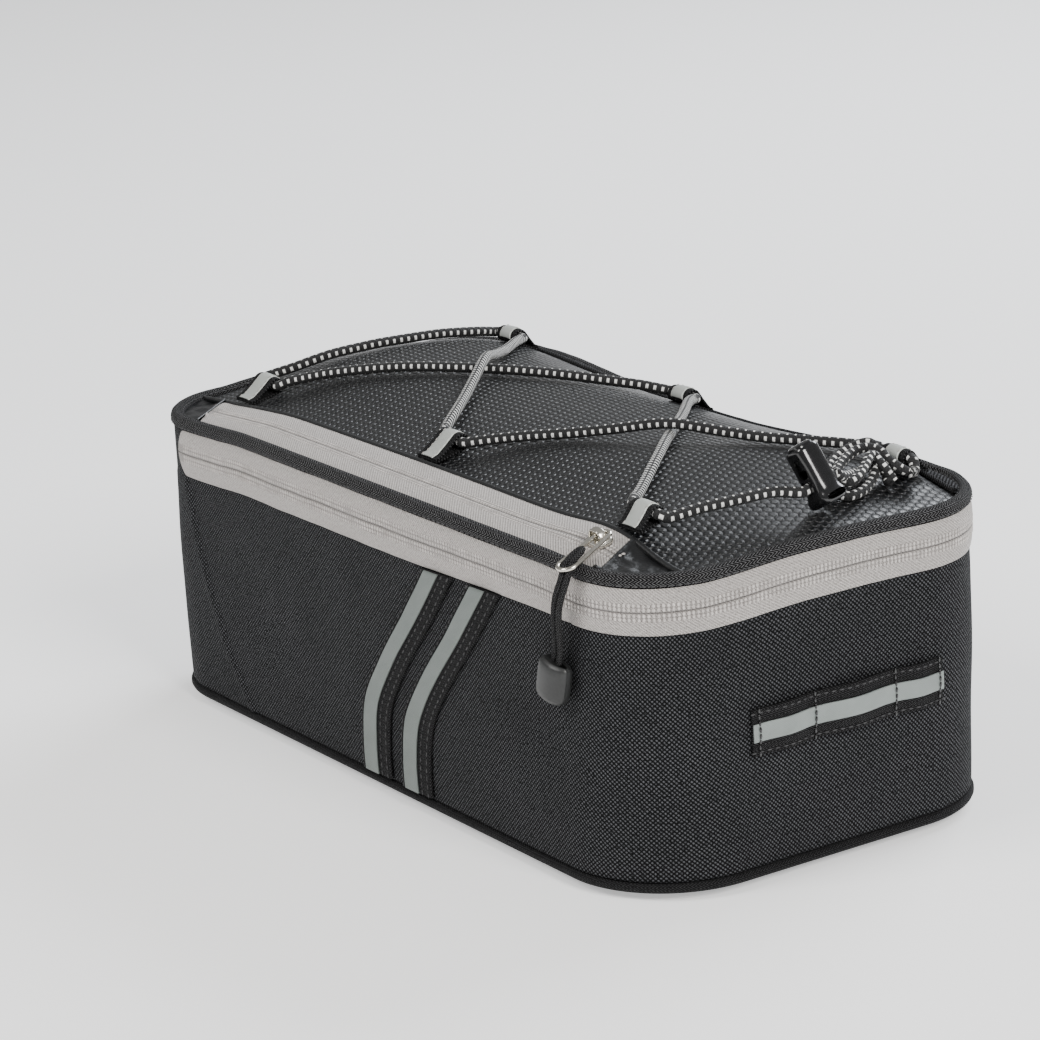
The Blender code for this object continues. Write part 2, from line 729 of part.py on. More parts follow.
def makeLock():
    lean, through, side = lockFrame()
    frame = stand("cord_lock", lockFoot(), (side, through, lean))
    bodyTop = lockHeight - buttonProud
    bodyFoot = lockFootHeight / 3
    bore = (lockSide - 2 * lockWall, lockDepth - 2 * lockWall)
    boreFloor = passageAt - passage / 2 + 0.0010
    body = block("cord_lock_body", frame, (0, 0, (bodyTop + bodyFoot) / 2),
                 (lockSide, lockDepth, bodyTop - bodyFoot), lockPlastic, 0.0018)
    flange = block("lock_flange", frame, (0, 0, lockFootHeight / 2),
                   (lockFootSize, lockDepth + 0.0016, lockFootHeight), lockPlastic, 0.0014)
    slot = block("lock_slot", frame, (0, 0, lockFootHeight / 2),
                 (lockFootSize * 2, lockDepth - 0.0034, lockFootHeight - 0.0022), lockPlastic)
    hollow = block("lock_bore", frame, (0, 0, (boreFloor + lockHeight) / 2),
                   (*bore, lockHeight - boreFloor), lockPlastic)
    across = block("lock_passage", frame, (-passageOffset, 0, passageAt),
                   (passage, lockDepth * 2, passage), lockPlastic)
    window = block("lock_window", frame, (0.0010, -lockDepth / 2, bodyTop * 0.70),
                   (0.0042, lockWall * 2.2, 0.0070), lockPlastic)
    cut(body, flange, "UNION")
    for cutter in (slot, hollow, across, window):
        cut(body, cutter)
    buttonFoot = passageAt + passage / 2 + clearance + buttonTravel
    block("cord_lock_button", frame, (0, 0, (lockHeight + buttonFoot) / 2),
          (bore[0] - 2 * clearance, bore[1] - 2 * clearance, lockHeight - buttonFoot), lockPlastic, 0.0009)


# Straps

# Course of a slanted tape: shares of the wall's height, and shares of the way from its foot to its top
tapeCourse = ((0.00, 0.00), (0.18, 0.02), (0.36, 0.10), (0.55, 0.34), (0.78, 0.69), (1.00, 1.00))


def sideTapeMiddle(top, foot, height):
    """Place along X of a slanted tape: nearly upright at its foot, then straight."""
    places = [share for share, _ in tapeCourse]
    reaches = [reach for _, reach in tapeCourse]
    return blend(foot, top, float(np.interp(height / wallHeight, places, reaches)))


sideTapes = (("front", 0.0505, -0.0025), ("rear", 0.0800, 0.0255))


def wallTape(name, middle, tapeWidth, low, high, proud, thickness, look):
    """Flat tape up the near wall."""
    rings = []
    for i in range(13):
        height = blend(low, high, i / 12)
        centre = middle(height)
        ring = []
        for layer in (proud + thickness, proud):
            places = (-0.5, 0.5) if layer == proud + thickness else (0.5, -0.5)
            for share in places:
                at = shareAt(near, height, centre + tapeWidth * share)
                ring.append(wallPoint((near, at), height, -layer))
        rings.append(ring)
    sweep(name, rings, look)


def makeSideTapes():
    low = pipingSize + 4 * clearance
    high = wallHeight - 0.0008
    for name, top, foot in sideTapes:
        middle = lambda height, top=top, foot=foot: sideTapeMiddle(top, foot, height)
        wallTape("side_webbing_" + name, middle, webbingWidth, low, high, clearance, webbingThickness, webbing)
        wallTape("side_reflector_" + name, middle, reflectorWidth, low, high,
                 2 * clearance + webbingThickness, reflectorThickness, reflective)


# Stitched places of the light strap, as shares of its length
lightStitches = (0.03, 0.31, 0.73, 0.97)


def lightSlack(share):
    """How far the light strap stands off the wall between two rows of stitches."""
    for a, b in zip(lightStitches, lightStitches[1:]):
        if a < share < b:
            t = (share - a) / (b - a)
            return lightStrapSlack * (math.sin(math.pi * t) ** 2) * min(1.0, (b - a) / 0.4)
    return 0.0


def makeLightStrap():
    for name, tall, proud, thickness, look in (
        ("light_strap", lightStrapHeight, clearance, webbingThickness, webbing),
        ("light_strap_reflector", lightTapeHeight, 2 * clearance + webbingThickness, reflectorThickness,
         reflective),
    ):
        rings = []
        for i in range(29):
            share = i / 28
            y = blend(lightStrapNear, lightStrapFar, share)
            out = proud + lightSlack(share)
            ring = []
            for height, layer in ((-0.5, out + thickness), (0.5, out + thickness), (0.5, out), (-0.5, out)):
                z = lightStrapZ + tall * height
                ring.append(wallPoint((rear, shareAt(rear, z, y)), z, -layer))
            rings.append(ring)
        sweep(name, rings, look)


def makeBaseStraps():
    """Closed hook-and-loop straps, flat across the underside."""
    for name, x in zip(("front", "rear"), baseStraps):
        block("base_strap_" + name, None, (x, 0.0, -clearance - baseStrapThickness / 2),
              (baseStrapWidth, baseStrapLength, baseStrapThickness), webbing, 0.0007)


# Zip hardware

sliderY = seamNear - pocketTapeWidth * 0.46


def makePocketPull():
    tilt = lidZ(sliderX, sliderY + 0.004) - lidZ(sliderX, sliderY - 0.004)
    across = Vector((0, 0.008, tilt)).normalized()
    along = Vector((1, 0, 0))
    upward = along.cross(across)
    ground = Vector((sliderX, sliderY, lidZ(sliderX, sliderY)))
    frame = stand("pocket_slider_seat", ground, (along, across, upward))
    top = clearance * 2 + sliderSize[2]
    archFoot = 0.0012
    archLength = sliderSize[0] * 0.80
    slider = block("pocket_slider", frame, (0, 0, top - sliderSize[2] / 2), sliderSize, nickel, 0.0007)
    arch = block("slider_arch", frame, (0, 0, top + (sliderArch + archFoot) / 2 - archFoot / 4),
                 (archLength, 0.0022, sliderArch + archFoot * 1.5), nickel, 0.0004)
    window = block("arch_window", frame, (0, 0, top + sliderArch / 2),
                   (archLength - 2 * archFoot, 0.0060, sliderArch), nickel)
    cut(slider, arch, "UNION")
    cut(slider, window)

    eye = ground + upward * (top + sliderArch / 2) + along * (archLength - archFoot) / 2
    end = Vector((eye.x + 0.0055, -(width / 2) - 0.0063, rimHeight - ringWire / 2))
    out = (end - eye).normalized()
    sideways = (along - out * along.dot(out)).normalized()
    points = []
    small, large = 0.0026, ringWidth / 2 - ringWire / 2
    reach = ringLength - small - large - ringWire
    for k in range(7):
        angle = math.radians(90 + 30 * k)
        points.append(eye + out * small * math.cos(angle) + sideways * small * math.sin(angle))
    for k in range(9):
        angle = math.radians(-90 + 22.5 * k)
        points.append(eye + out * (reach + large * math.cos(angle)) + sideways * large * math.sin(angle))
    tube("pull_ring", points, ringWire, nickel, cyclic=True)

    bow = eye + out * (reach + large)
    return bow, out, sideways


def makePullCord(bow, out, sideways):
    ends = []
    for shift, height in zip(gripShift, (rimHeight - gripHang, rimHeight - gripHang - gripSize[2])):
        x = sliderX + shift
        wallY = outline(near, shareAt(near, height, x), height)[1]
        ends.append(Vector((x, wallY - gripGap - gripSize[1] / 2, height)))
    gripHead, gripEnd = ends
    down = (gripEnd - gripHead).normalized()
    broad = (Vector((1, 0, 0)) - down * down.x).normalized()
    middle = (gripHead + gripEnd) / 2
    frame = stand("pull_grip_seat", middle, (broad, down.cross(broad) * -1, down * -1))
    block("pull_grip", frame, (0, 0, 0), gripSize, rubber, 0.0020)
    head = middle - down * (gripSize[2] / 2 + clearance)
    hang = ringWire / 2 + pullCordDiameter / 2 + 2 * clearance
    lean = Vector((0, 0, 1))
    gap = pullCordDiameter * 0.68
    route = (
        head - broad * gap, head - broad * gap - down * 0.006, head.lerp(bow, 0.62) - broad * gap + out * 0.0022,
        bow + out * hang - lean * 0.0035 - sideways * 0.0010, bow + out * hang * 0.75 + lean * hang * 0.66,
        bow - out * hang * 0.75 + lean * hang * 0.66, bow - out * hang - lean * 0.0035 + sideways * 0.0010,
        head.lerp(bow, 0.62) + broad * gap - out * 0.0022, head + broad * gap - down * 0.006, head + broad * gap,
    )
    tube("pull_cord", smoothRoute(route, 0.0016), pullCordDiameter, elastic)


def makeMainSlider():
    """Plain slider with its tab on the far side, at the closed end of the main zip."""
    height = wallHeight + clearance + zipTapeHeight / 2
    at = shareAt(far, height, -(length / 2 - rimRadius - 0.010))
    spot = wallPoint((far, at), height, -(tapeProud + 0.0004 + clearance))
    frame = stand("main_slider_seat", spot, (Vector((1, 0, 0)), Vector((0, 1, 0)), Vector((0, 0, 1))))
    slider = block("main_slider", frame, (0, 0.0014, 0), (0.0100, 0.0026, 0.0078), nickel, 0.0007)
    tab = block("slider_tab", frame, (0, 0.0034, -0.0130), (0.0060, 0.0018, 0.0300), nickel, 0.0006)
    cut(slider, tab, "UNION")


def seatOnOrigin(hanging):
    """Moves the model so that its box, without what hangs free, stands on the origin."""
    view = bpy.context.evaluated_depsgraph_get()
    spots = []
    for thing in bpy.data.objects:
        if thing.type == "EMPTY" or thing.hide_render or thing.name in hanging:
            continue
        seen = thing.evaluated_get(view)
        spots += [seen.matrix_world @ v.co for v in seen.to_mesh().vertices]
        seen.to_mesh_clear()
    low = Vector([min(p[k] for p in spots) for k in range(3)])
    high = Vector([max(p[k] for p in spots) for k in range(3)])
    shift = Vector(((low.x + high.x) / -2, (low.y + high.y) / -2, -low.z))
    for thing in bpy.data.objects:
        if thing.parent is None:
            thing.location += shift


clearScene()
makeBody()
makeEdges()
makeMainTape()
makeLid()
makeLoops()
makeCord()
makeBundle()
makeLock()
makeSideTapes()
makeLightStrap()
makeBaseStraps()
makePullCord(*makePocketPull())
makeMainSlider()
seatOnOrigin(("pull_cord", "pull_grip", "cord_bundle"))
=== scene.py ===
import math
import bmesh
import bpy
import numpy as np
from mathutils import Matrix, Vector, noise


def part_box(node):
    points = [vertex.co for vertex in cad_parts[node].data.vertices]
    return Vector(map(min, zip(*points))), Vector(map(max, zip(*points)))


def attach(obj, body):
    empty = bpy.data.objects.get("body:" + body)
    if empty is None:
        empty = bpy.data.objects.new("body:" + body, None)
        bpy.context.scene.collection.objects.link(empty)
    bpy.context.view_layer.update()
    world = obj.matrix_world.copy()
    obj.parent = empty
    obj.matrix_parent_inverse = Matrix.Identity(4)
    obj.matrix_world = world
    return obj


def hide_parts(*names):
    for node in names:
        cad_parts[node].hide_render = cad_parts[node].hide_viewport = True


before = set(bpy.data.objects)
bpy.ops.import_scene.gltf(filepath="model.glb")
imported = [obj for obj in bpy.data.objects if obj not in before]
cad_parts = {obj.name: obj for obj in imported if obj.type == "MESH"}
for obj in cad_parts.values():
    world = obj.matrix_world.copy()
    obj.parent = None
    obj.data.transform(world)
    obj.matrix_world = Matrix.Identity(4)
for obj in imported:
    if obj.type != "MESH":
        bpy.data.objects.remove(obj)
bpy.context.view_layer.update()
print("frame loaded")

bagBody, buttonBody = "bag", "lock_button"
strapLow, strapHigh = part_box("base_strap_front")
# from the bag's own middle to the frame's origin, by the middle of the front base strap
seat = np.array(((strapLow[0] + strapHigh[0]) / 2 + 0.0750, (strapLow[1] + strapHigh[1]) / 2, 0.0027))

# the bag's own shape, as in the solids
form = {
    "length": 0.340, "width": 0.163, "wallHeight": 0.0957, "zipTapeHeight": 0.0173,
    "rimRadius": 0.034, "baseRadius": 0.042, "frontFlare": 0.0047, "sideFlare": 0.0015,
    "nearBulge": 0.0036, "farPull": 0.0030, "rearBulge": 0.0012,
    "farSag": 0.0050, "nearRise": 0.0013, "tapeSpread": 0.0019,
    "bindingHeight": 0.0042, "bindingDepth": 0.0038, "clearance": 0.0003,
    "crownHeight": 0.0146, "lidDrop": 0.0022, "pocketTapeWidth": 0.0210, "farBorderWidth": 0.0095,
    "pocketEnd": 0.0370,
    "softness": 0.0007,     # how far the padded walls wander in and out
    "fullness": 0.0010,     # how far they stand out at mid height
}
length, width, wallHeight = form["length"], form["width"], form["wallHeight"]
tapeTop = wallHeight + form["clearance"] + form["zipTapeHeight"]
bindingFoot = tapeTop + form["clearance"]
rimHeight = bindingFoot + form["bindingHeight"]
lidEdge = rimHeight - form["lidDrop"]
lidInset = form["bindingDepth"] + form["clearance"]
seamNear = -(width / 2 - lidInset - form["pocketTapeWidth"])
seamFar = width / 2 - lidInset - form["farBorderWidth"]

# how far the corners of the rim lie lower: front near, rear near, rear far, front far
cornerDrops = (0.0029, 0.0022, 0.0015, 0.0018)
lengthProfile = (
    (-1.00, 0.00), (-0.94, 0.30), (-0.87, 0.57), (-0.80, 0.76), (-0.73, 0.91), (-0.65, 0.98), (-0.50, 0.98),
    (-0.25, 0.97), (0.00, 0.99), (0.25, 1.00), (0.48, 0.98), (0.62, 0.90), (0.75, 0.70), (0.85, 0.44),
    (0.93, 0.20), (1.00, 0.00),
)
crossProfile = (
    (-1.00, 0.00), (-0.69, 0.25), (-0.54, 0.42), (-0.43, 0.60), (-0.33, 0.76), (-0.14, 0.94), (0.05, 1.00),
    (0.20, 0.99), (0.35, 0.95), (0.46, 0.89), (0.55, 0.82), (0.63, 0.72), (0.72, 0.58), (0.85, 0.30), (1.00, 0.00),
)
sagProfile = (
    (-1.00, 0.00), (-0.68, 0.00), (-0.51, 0.30), (-0.35, 0.68), (-0.15, 0.92), (0.06, 1.00), (0.22, 0.90),
    (0.34, 0.62), (0.46, 0.30), (0.60, 0.00), (1.00, 0.00),
)
# places where the cord pulls the lid: x, y, rise, radius
lidPulls = ((0.1280, -0.0520, 0.0036, 0.0180), (0.1300, 0.0500, 0.0026, 0.0180),
            (0.0520, 0.0220, -0.0024, 0.0220), (-0.1190, 0.0450, 0.0012, 0.0180))


def blend(a, b, share):
    return a + (b - a) * share


def profile(table, share):
    xs, ys = np.array(table).T
    high = np.minimum(np.arange(len(xs)) + 1, len(xs) - 1)
    low = np.maximum(np.arange(len(xs)) - 1, 0)
    slopes = (ys[high] - ys[low]) / (xs[high] - xs[low])
    share = np.clip(share, xs[0], xs[-1])
    i = np.clip(np.searchsorted(xs, share, side="right") - 1, 0, len(xs) - 2)
    span = xs[i + 1] - xs[i]
    t = (share - xs[i]) / span
    return (
        (2 * t ** 3 - 3 * t ** 2 + 1) * ys[i] + (t ** 3 - 2 * t ** 2 + t) * span * slopes[i]
        + (3 * t ** 2 - 2 * t ** 3) * ys[i + 1] + (t ** 3 - t ** 2) * span * slopes[i + 1]
    )


def ease(low, high, value):
    share = np.clip((value - low) / (high - low), 0.0, 1.0)
    return share * share * (3 - 2 * share)


def rimDrop(x, y):
    along, across = 2 * x / length, 2 * y / width
    frontNear, rearNear, rearFar, frontFar = cornerDrops
    farShare = ease(-0.5, 0.5, across)
    drop = blend(frontNear, frontFar, farShare) * ease(0.50, 0.84, -along)
    drop = drop + blend(rearNear, rearFar, farShare) * ease(0.62, 0.94, along)
    drop = drop * ease(0.12, 0.62, np.abs(across))
    drop = drop + form["farSag"] * profile(sagProfile, along) * np.clip(across, 0.0, 1.0) ** 1.5
    middle = np.maximum(0.0, 1 - (along / 0.62) ** 2)
    return drop - form["nearRise"] * middle * np.clip(-across, 0.0, 1.0) ** 1.5


def tapeDrop(x, y, height):
    share = ease(0.62, 0.08, 2 * x / length) * ease(0.30, 0.80, -2 * y / width)
    below = np.clip(height / wallHeight, 0.0, 1.0) ** 2
    above = np.maximum(0.0, 1 - (height - wallHeight) / form["zipTapeHeight"])
    return form["tapeSpread"] * share * np.where(height < wallHeight, below, above)


def edges(height, inset):
    rise = np.clip(height / rimHeight, 0.0, 1.0)
    toFront = length / 2 + form["frontFlare"] * (1 - rise) - inset
    toRear = length / 2 - inset
    toSide = width / 2 + form["sideFlare"] * (1 - rise) - inset
    radius = form["baseRadius"] + (form["rimRadius"] - form["baseRadius"]) * rise - inset
    return rise, toFront, toRear, toSide, radius


def outline(t, height, inset=0.0):
    # plan point at t: legs 0 near, 2 rear, 4 far, 6 front, with the corners between them
    t = np.mod(t, 8.0)
    leg = np.floor(t).astype(int)
    share = t - leg
    rise, toFront, toRear, toSide, radius = edges(height, inset)
    bow = rise * (1 - (2 * share - 1) ** 2)
    frontX, rearX = radius - toFront, toRear - radius
    corner = (leg - 1) // 2
    angle = np.radians(-90 + 90 * corner + 90 * share)
    cornerX = np.where((corner == 0) | (corner == 1), rearX, frontX) + radius * np.cos(angle)
    cornerY = np.where((corner == 0) | (corner == 3), radius - toSide, toSide - radius) + radius * np.sin(angle)
    x = np.select(
        [leg == 0, leg == 2, leg == 4, leg == 6],
        [blend(frontX, rearX, share), toRear + form["rearBulge"] * bow, blend(rearX, frontX, share), -toFront],
        cornerX)
    y = np.select(
        [leg == 0, leg == 2, leg == 4, leg == 6],
        [-toSide - form["nearBulge"] * bow, (2 * share - 1) * (toSide - radius),
         toSide - form["farPull"] * bow, (1 - 2 * share) * (toSide - radius)],
        cornerY)
    return x, y


fineT = np.linspace(0, 8, 4001)
fineX, fineY = outline(fineT, 0.05)
fineS = np.concatenate(([0], np.cumsum(np.hypot(np.diff(fineX), np.diff(fineY)))))
girth = fineS[-1]


def runAt(t):
    # distance round the bag, in metres, at t
    return np.interp(np.mod(t, 8.0), fineT, fineS) + np.floor(np.asarray(t) / 8.0) * girth


def stationAt(s):
    return np.interp(np.mod(s, girth), fineS, fineT) + 8.0 * np.floor(np.asarray(s) / girth)


def tAlong(leg, height, place):
    # t of a place along X on a long side, or along Y on the rear
    _, toFront, toRear, toSide, radius = edges(height, 0.0)
    if leg == 0:
        return (place + toFront - radius) / (toFront + toRear - 2 * radius)
    if leg == 4:
        return 4 + (toRear - radius - place) / (toFront + toRear - 2 * radius)
    return 2 + (place + toSide - radius) / (2 * (toSide - radius))


def wallPoint(t, height, out=0.0):
    t, height, out = np.broadcast_arrays(np.asarray(t, float), np.asarray(height, float), np.asarray(out, float))
    x, y = outline(t, height, -out)
    rise = np.clip(height / rimHeight, 0.0, 1.0)
    return np.stack((x, y, height - rise * rimDrop(x, y) - tapeDrop(x, y, height)), axis=-1)


def noiseAt(x, y, z):
    flat = np.stack(np.broadcast_arrays(x, y, z), axis=-1)
    return np.array([noise.noise(Vector(p)) for p in flat.reshape(-1, 3)]).reshape(flat.shape[:-1])


def wander(s, h, scale, seed):
    # smooth wandering value on the wall, the same at both ends of the girth
    s, h = np.asarray(s, float), np.asarray(h, float)
    turn = 2 * math.pi / girth
    radius = girth / (2 * math.pi)
    return noiseAt(np.cos(s * turn) * radius / scale, np.sin(s * turn) * radius / scale, h / scale + seed)


# course of the curved seam on the near wall: height, place along X
frontSeam = ((0.0000, -0.0890), (0.0030, -0.0907), (0.0260, -0.1086), (0.0520, -0.1204), (0.0750, -0.1288),
             (0.0905, -0.1344), (0.0960, -0.1362))


def puff(t, height):
    # how far the padded wall stands out of its plain shape
    s = runAt(t)
    share = np.clip(height / wallHeight, 0.0, 1.0)
    soft = np.sin(math.pi * share) ** 0.7
    out = form["fullness"] * soft
    out = out + form["softness"] * soft * (1.4 * wander(s, height, 0.085, 3.1) + 0.7 * wander(s, height, 0.034, 9.7))
    tucks = np.exp(-((share - 1.0) / 0.10) ** 2)
    out = out + 0.00035 * tucks * wander(s, height * 0.3, 0.012, 21.0)
    return out


def skin(t, height, out=0.0):
    height = np.asarray(height, float)
    return wallPoint(t, height, puff(t, height) + out)


def lidZ(x, y):
    x, y = np.asarray(x, float), np.asarray(y, float)
    along, across = 2 * x / length, 2 * y / width
    crown = profile(lengthProfile, along) * profile(crossProfile, across)
    pull = sum(rise * np.exp(-((x - atX) ** 2 + (y - atY) ** 2) / (2 * radius ** 2))
               for atX, atY, rise, radius in lidPulls)
    pull = pull * ease(1.0, 0.80, np.abs(along)) * ease(1.0, 0.80, np.abs(across))
    return lidEdge + form["crownHeight"] * crown + pull - rimDrop(x, y)


def lidEndX(y, inset, rearward):
    _, toFront, toRear, toSide, radius = edges(rimHeight, inset)
    reach = toRear if rearward else toFront
    y = np.asarray(y, float)
    past = np.abs(y) - (toSide - radius)
    bow = form["rearBulge"] * (1 - (y / (toSide - radius)) ** 2) if rearward else 0.0 * y
    curved = reach - radius + np.sqrt(np.maximum(0.0, radius ** 2 - np.clip(past, 0, radius) ** 2))
    return np.where(past <= 0, reach + bow, curved) * (1 if rearward else -1)


def lidSideY(x, inset, farSide):
    _, toFront, toRear, toSide, radius = edges(rimHeight, inset)
    share = (x + toFront - radius) / (toFront + toRear - 2 * radius)
    bow = np.maximum(0.0, 1 - (2 * share - 1) ** 2)
    return toSide - form["farPull"] * bow if farSide else -toSide - form["nearBulge"] * bow


# making meshes
def finishMesh(name, points, faces, look, uv=None, extra=None):
    mesh = bpy.data.meshes.new(name)
    mesh.from_pydata((np.asarray(points, float) + seat).tolist(), [], faces)
    if uv is not None:
        layer = mesh.uv_layers.new(name="cloth")
        layer.data.foreach_set("uv", np.asarray(uv, np.float32).ravel())
    mesh.materials.append(look)
    mesh.shade_smooth()
    thing = bpy.data.objects.new(name, mesh)
    bpy.context.collection.objects.link(thing)
    return thing


def turnOut(thing):
    # faces of a closed mesh turned outwards
    work = bmesh.new()
    work.from_mesh(thing.data)
    bmesh.ops.recalc_face_normals(work, faces=work.faces)
    work.to_mesh(thing.data)
    work.free()
    return thing


def gridPiece(name, points, look, u, v, closedRows=False, closedColumns=False, caps=False):
    # points are rows x columns; u and v are the places on the cloth, with one more where the grid closes
    points = np.asarray(points, float)
    rows, columns = points.shape[:2]
    rowSteps = rows if closedRows else rows - 1
    columnSteps = columns if closedColumns else columns - 1
    i, j = np.meshgrid(np.arange(rowSteps), np.arange(columnSteps), indexing="ij")
    ni, nj = (i + 1) % rows, (j + 1) % columns
    quads = np.stack((i * columns + j, i * columns + nj, ni * columns + nj, ni * columns + j), axis=-1)
    u, v = np.asarray(u, float), np.asarray(v, float)
    if u.ndim == 1:
        u = np.repeat(u[:, None], columnSteps + 1, axis=1)
    if v.ndim == 1:
        v = np.repeat(v[None, :], rowSteps + 1, axis=0)
    corners = ((i, j), (i, j + 1), (i + 1, j + 1), (i + 1, j))
    uv = np.stack([np.stack((u[a, b], v[a, b]), axis=-1) for a, b in corners], axis=2).reshape(-1, 2)
    faces = quads.reshape(-1, 4).tolist()
    if caps:
        faces.append(list(range(columns)))
        faces.append(list(range((rows - 1) * columns, rows * columns))[::-1])
        ends = [(u[0, k], v[0, k]) for k in range(columns)]
        ends += [(u[-1, k], v[-1, k]) for k in range(columns)][::-1]
        uv = np.concatenate((uv, np.array(ends)))
    return finishMesh(name, points.reshape(-1, 3), faces, look, uv)


def thicken(thing, thickness, offset=-1.0, rounding=0.0):
    step = thing.modifiers.new("thickness", "SOLIDIFY")
    step.thickness = thickness
    step.offset = offset
    step.use_even_offset = False
    if rounding:
        soften = thing.modifiers.new("rounding", "BEVEL")
        soften.width = rounding
        soften.segments = 2
        soften.limit_method = "ANGLE"
        soften.angle_limit = math.radians(50)
    return thing


def facing(thing, towards=None):
    # an open sheet whose faces look the wrong way is turned over; without a direction it looks out all round
    total = 0.0
    for face in thing.data.polygons:
        way = towards or (face.center.x - seat[0], face.center.y - seat[1], 0.0)
        total += face.normal.dot(Vector(way)) * face.area
    if total < 0:
        thing.data.flip_normals()
    return thing


def unit(v):
    v = np.array(v, float)
    return v / np.linalg.norm(v)


def walkedAlong(points):
    # distance from the first point to each one
    return np.concatenate(([0], np.cumsum(np.linalg.norm(np.diff(points, axis=0), axis=1))))


def runLength(points):
    return float(walkedAlong(points)[-1])


def resampled(points, walked, spots):
    return np.stack([np.interp(spots, walked, points[:, k]) for k in range(3)], axis=1)


def smoothRoute(route, spacing):
    # as in the solids: a smooth curve through the route, with its own points kept
    knots = [np.array(p, float) for p in route]
    knots = [2 * knots[0] - knots[1]] + knots + [2 * knots[-1] - knots[-2]]
    fine = []
    for a, b, c, d in zip(knots, knots[1:], knots[2:], knots[3:]):
        for step in range(24):
            t = step / 24
            fine.append(0.5 * (2 * b + (c - a) * t + (2 * a - 5 * b + 4 * c - d) * t * t
                               + (3 * b - a - 3 * c + d) * t ** 3))
    fine.append(knots[-2])
    fine = np.array(fine)
    walked = walkedAlong(fine)
    return resampled(fine, walked, np.linspace(0, walked[-1], max(2, round(walked[-1] / spacing)) + 1))


def frames(points, upward=(0, 0, 1), cyclic=False):
    # tangent, side and top directions along a run of points, without twist
    if cyclic:
        tangents = np.roll(points, -1, axis=0) - np.roll(points, 1, axis=0)
    else:
        tangents = np.gradient(points, axis=0)
    tangents /= np.linalg.norm(tangents, axis=1)[:, None]
    top = np.array(upward, float)
    sides, tops = [], []
    for tangent in tangents:
        top = top - tangent * (top @ tangent)
        top /= np.linalg.norm(top)
        tops.append(top.copy())
        sides.append(np.cross(tangent, top))
    return tangents, np.array(sides), np.array(tops)


def sweepPiece(name, points, section, look, cyclic=False, upward=(0, 0, 1)):
    # section is a closed shape of (side, top) pairs; u runs along the piece and v round it, in metres
    points = np.asarray(points, float)
    _, sides, tops = frames(points, upward, cyclic)
    section = np.asarray(section, float)
    u = walkedAlong(points)
    if cyclic:
        u = np.append(u, u[-1] + np.linalg.norm(points[0] - points[-1]))
    v = walkedAlong(np.vstack((section, section[:1])))
    grid = points[:, None, :] + sides[:, None, :] * section[None, :, :1] + tops[:, None, :] * section[None, :, 1:]
    return turnOut(gridPiece(name, grid, look, u, v, cyclic, True, not cyclic))


def roundSection(radius, count=12):
    angles = np.linspace(0, 2 * math.pi, count, endpoint=False)
    return np.stack((radius * np.sin(angles), radius * np.cos(angles)), axis=1)


# shader maths
class Wire:
    def __init__(self, paint, socket):
        self.paint, self.socket = paint, socket

    def math(self, operation, *others):
        return self.paint.node("Math", {"operation": operation}, {i: v for i, v in enumerate((self,) + others)})

    def __add__(self, other): return self.math("ADD", other)
    __radd__ = __add__
    def __mul__(self, other): return self.math("MULTIPLY", other)
    __rmul__ = __mul__
    def __sub__(self, other): return self.math("SUBTRACT", other)
    def __rsub__(self, other): return self.math("MULTIPLY_ADD", -1.0, other)
    def __truediv__(self, other): return self.math("DIVIDE", other)
    def __mod__(self, other): return self.math("FLOORED_MODULO", other)
    def __pow__(self, other): return self.math("POWER", other)
    def __lt__(self, other): return self.math("LESS_THAN", other)
    def sine(self): return self.math("SINE")
    def size(self): return self.math("ABSOLUTE")
    def least(self, other): return self.math("MINIMUM", other)
    def most(self, other): return self.math("MAXIMUM", other)
    def fold(self, pitch=1.0): return ((self / pitch) % 1.0 - 0.5).size()      # 0.5 to 0 and back in each pitch
    def ripple(self, pitch=1.0): return self.fold(pitch) * 2.0

    def step(self, low, high):
        # smooth 0 to 1 between two values
        return self.paint.node("MapRange", {"interpolation_type": "SMOOTHSTEP"},
                               {"Value": self, "From Min": low, "From Max": high})


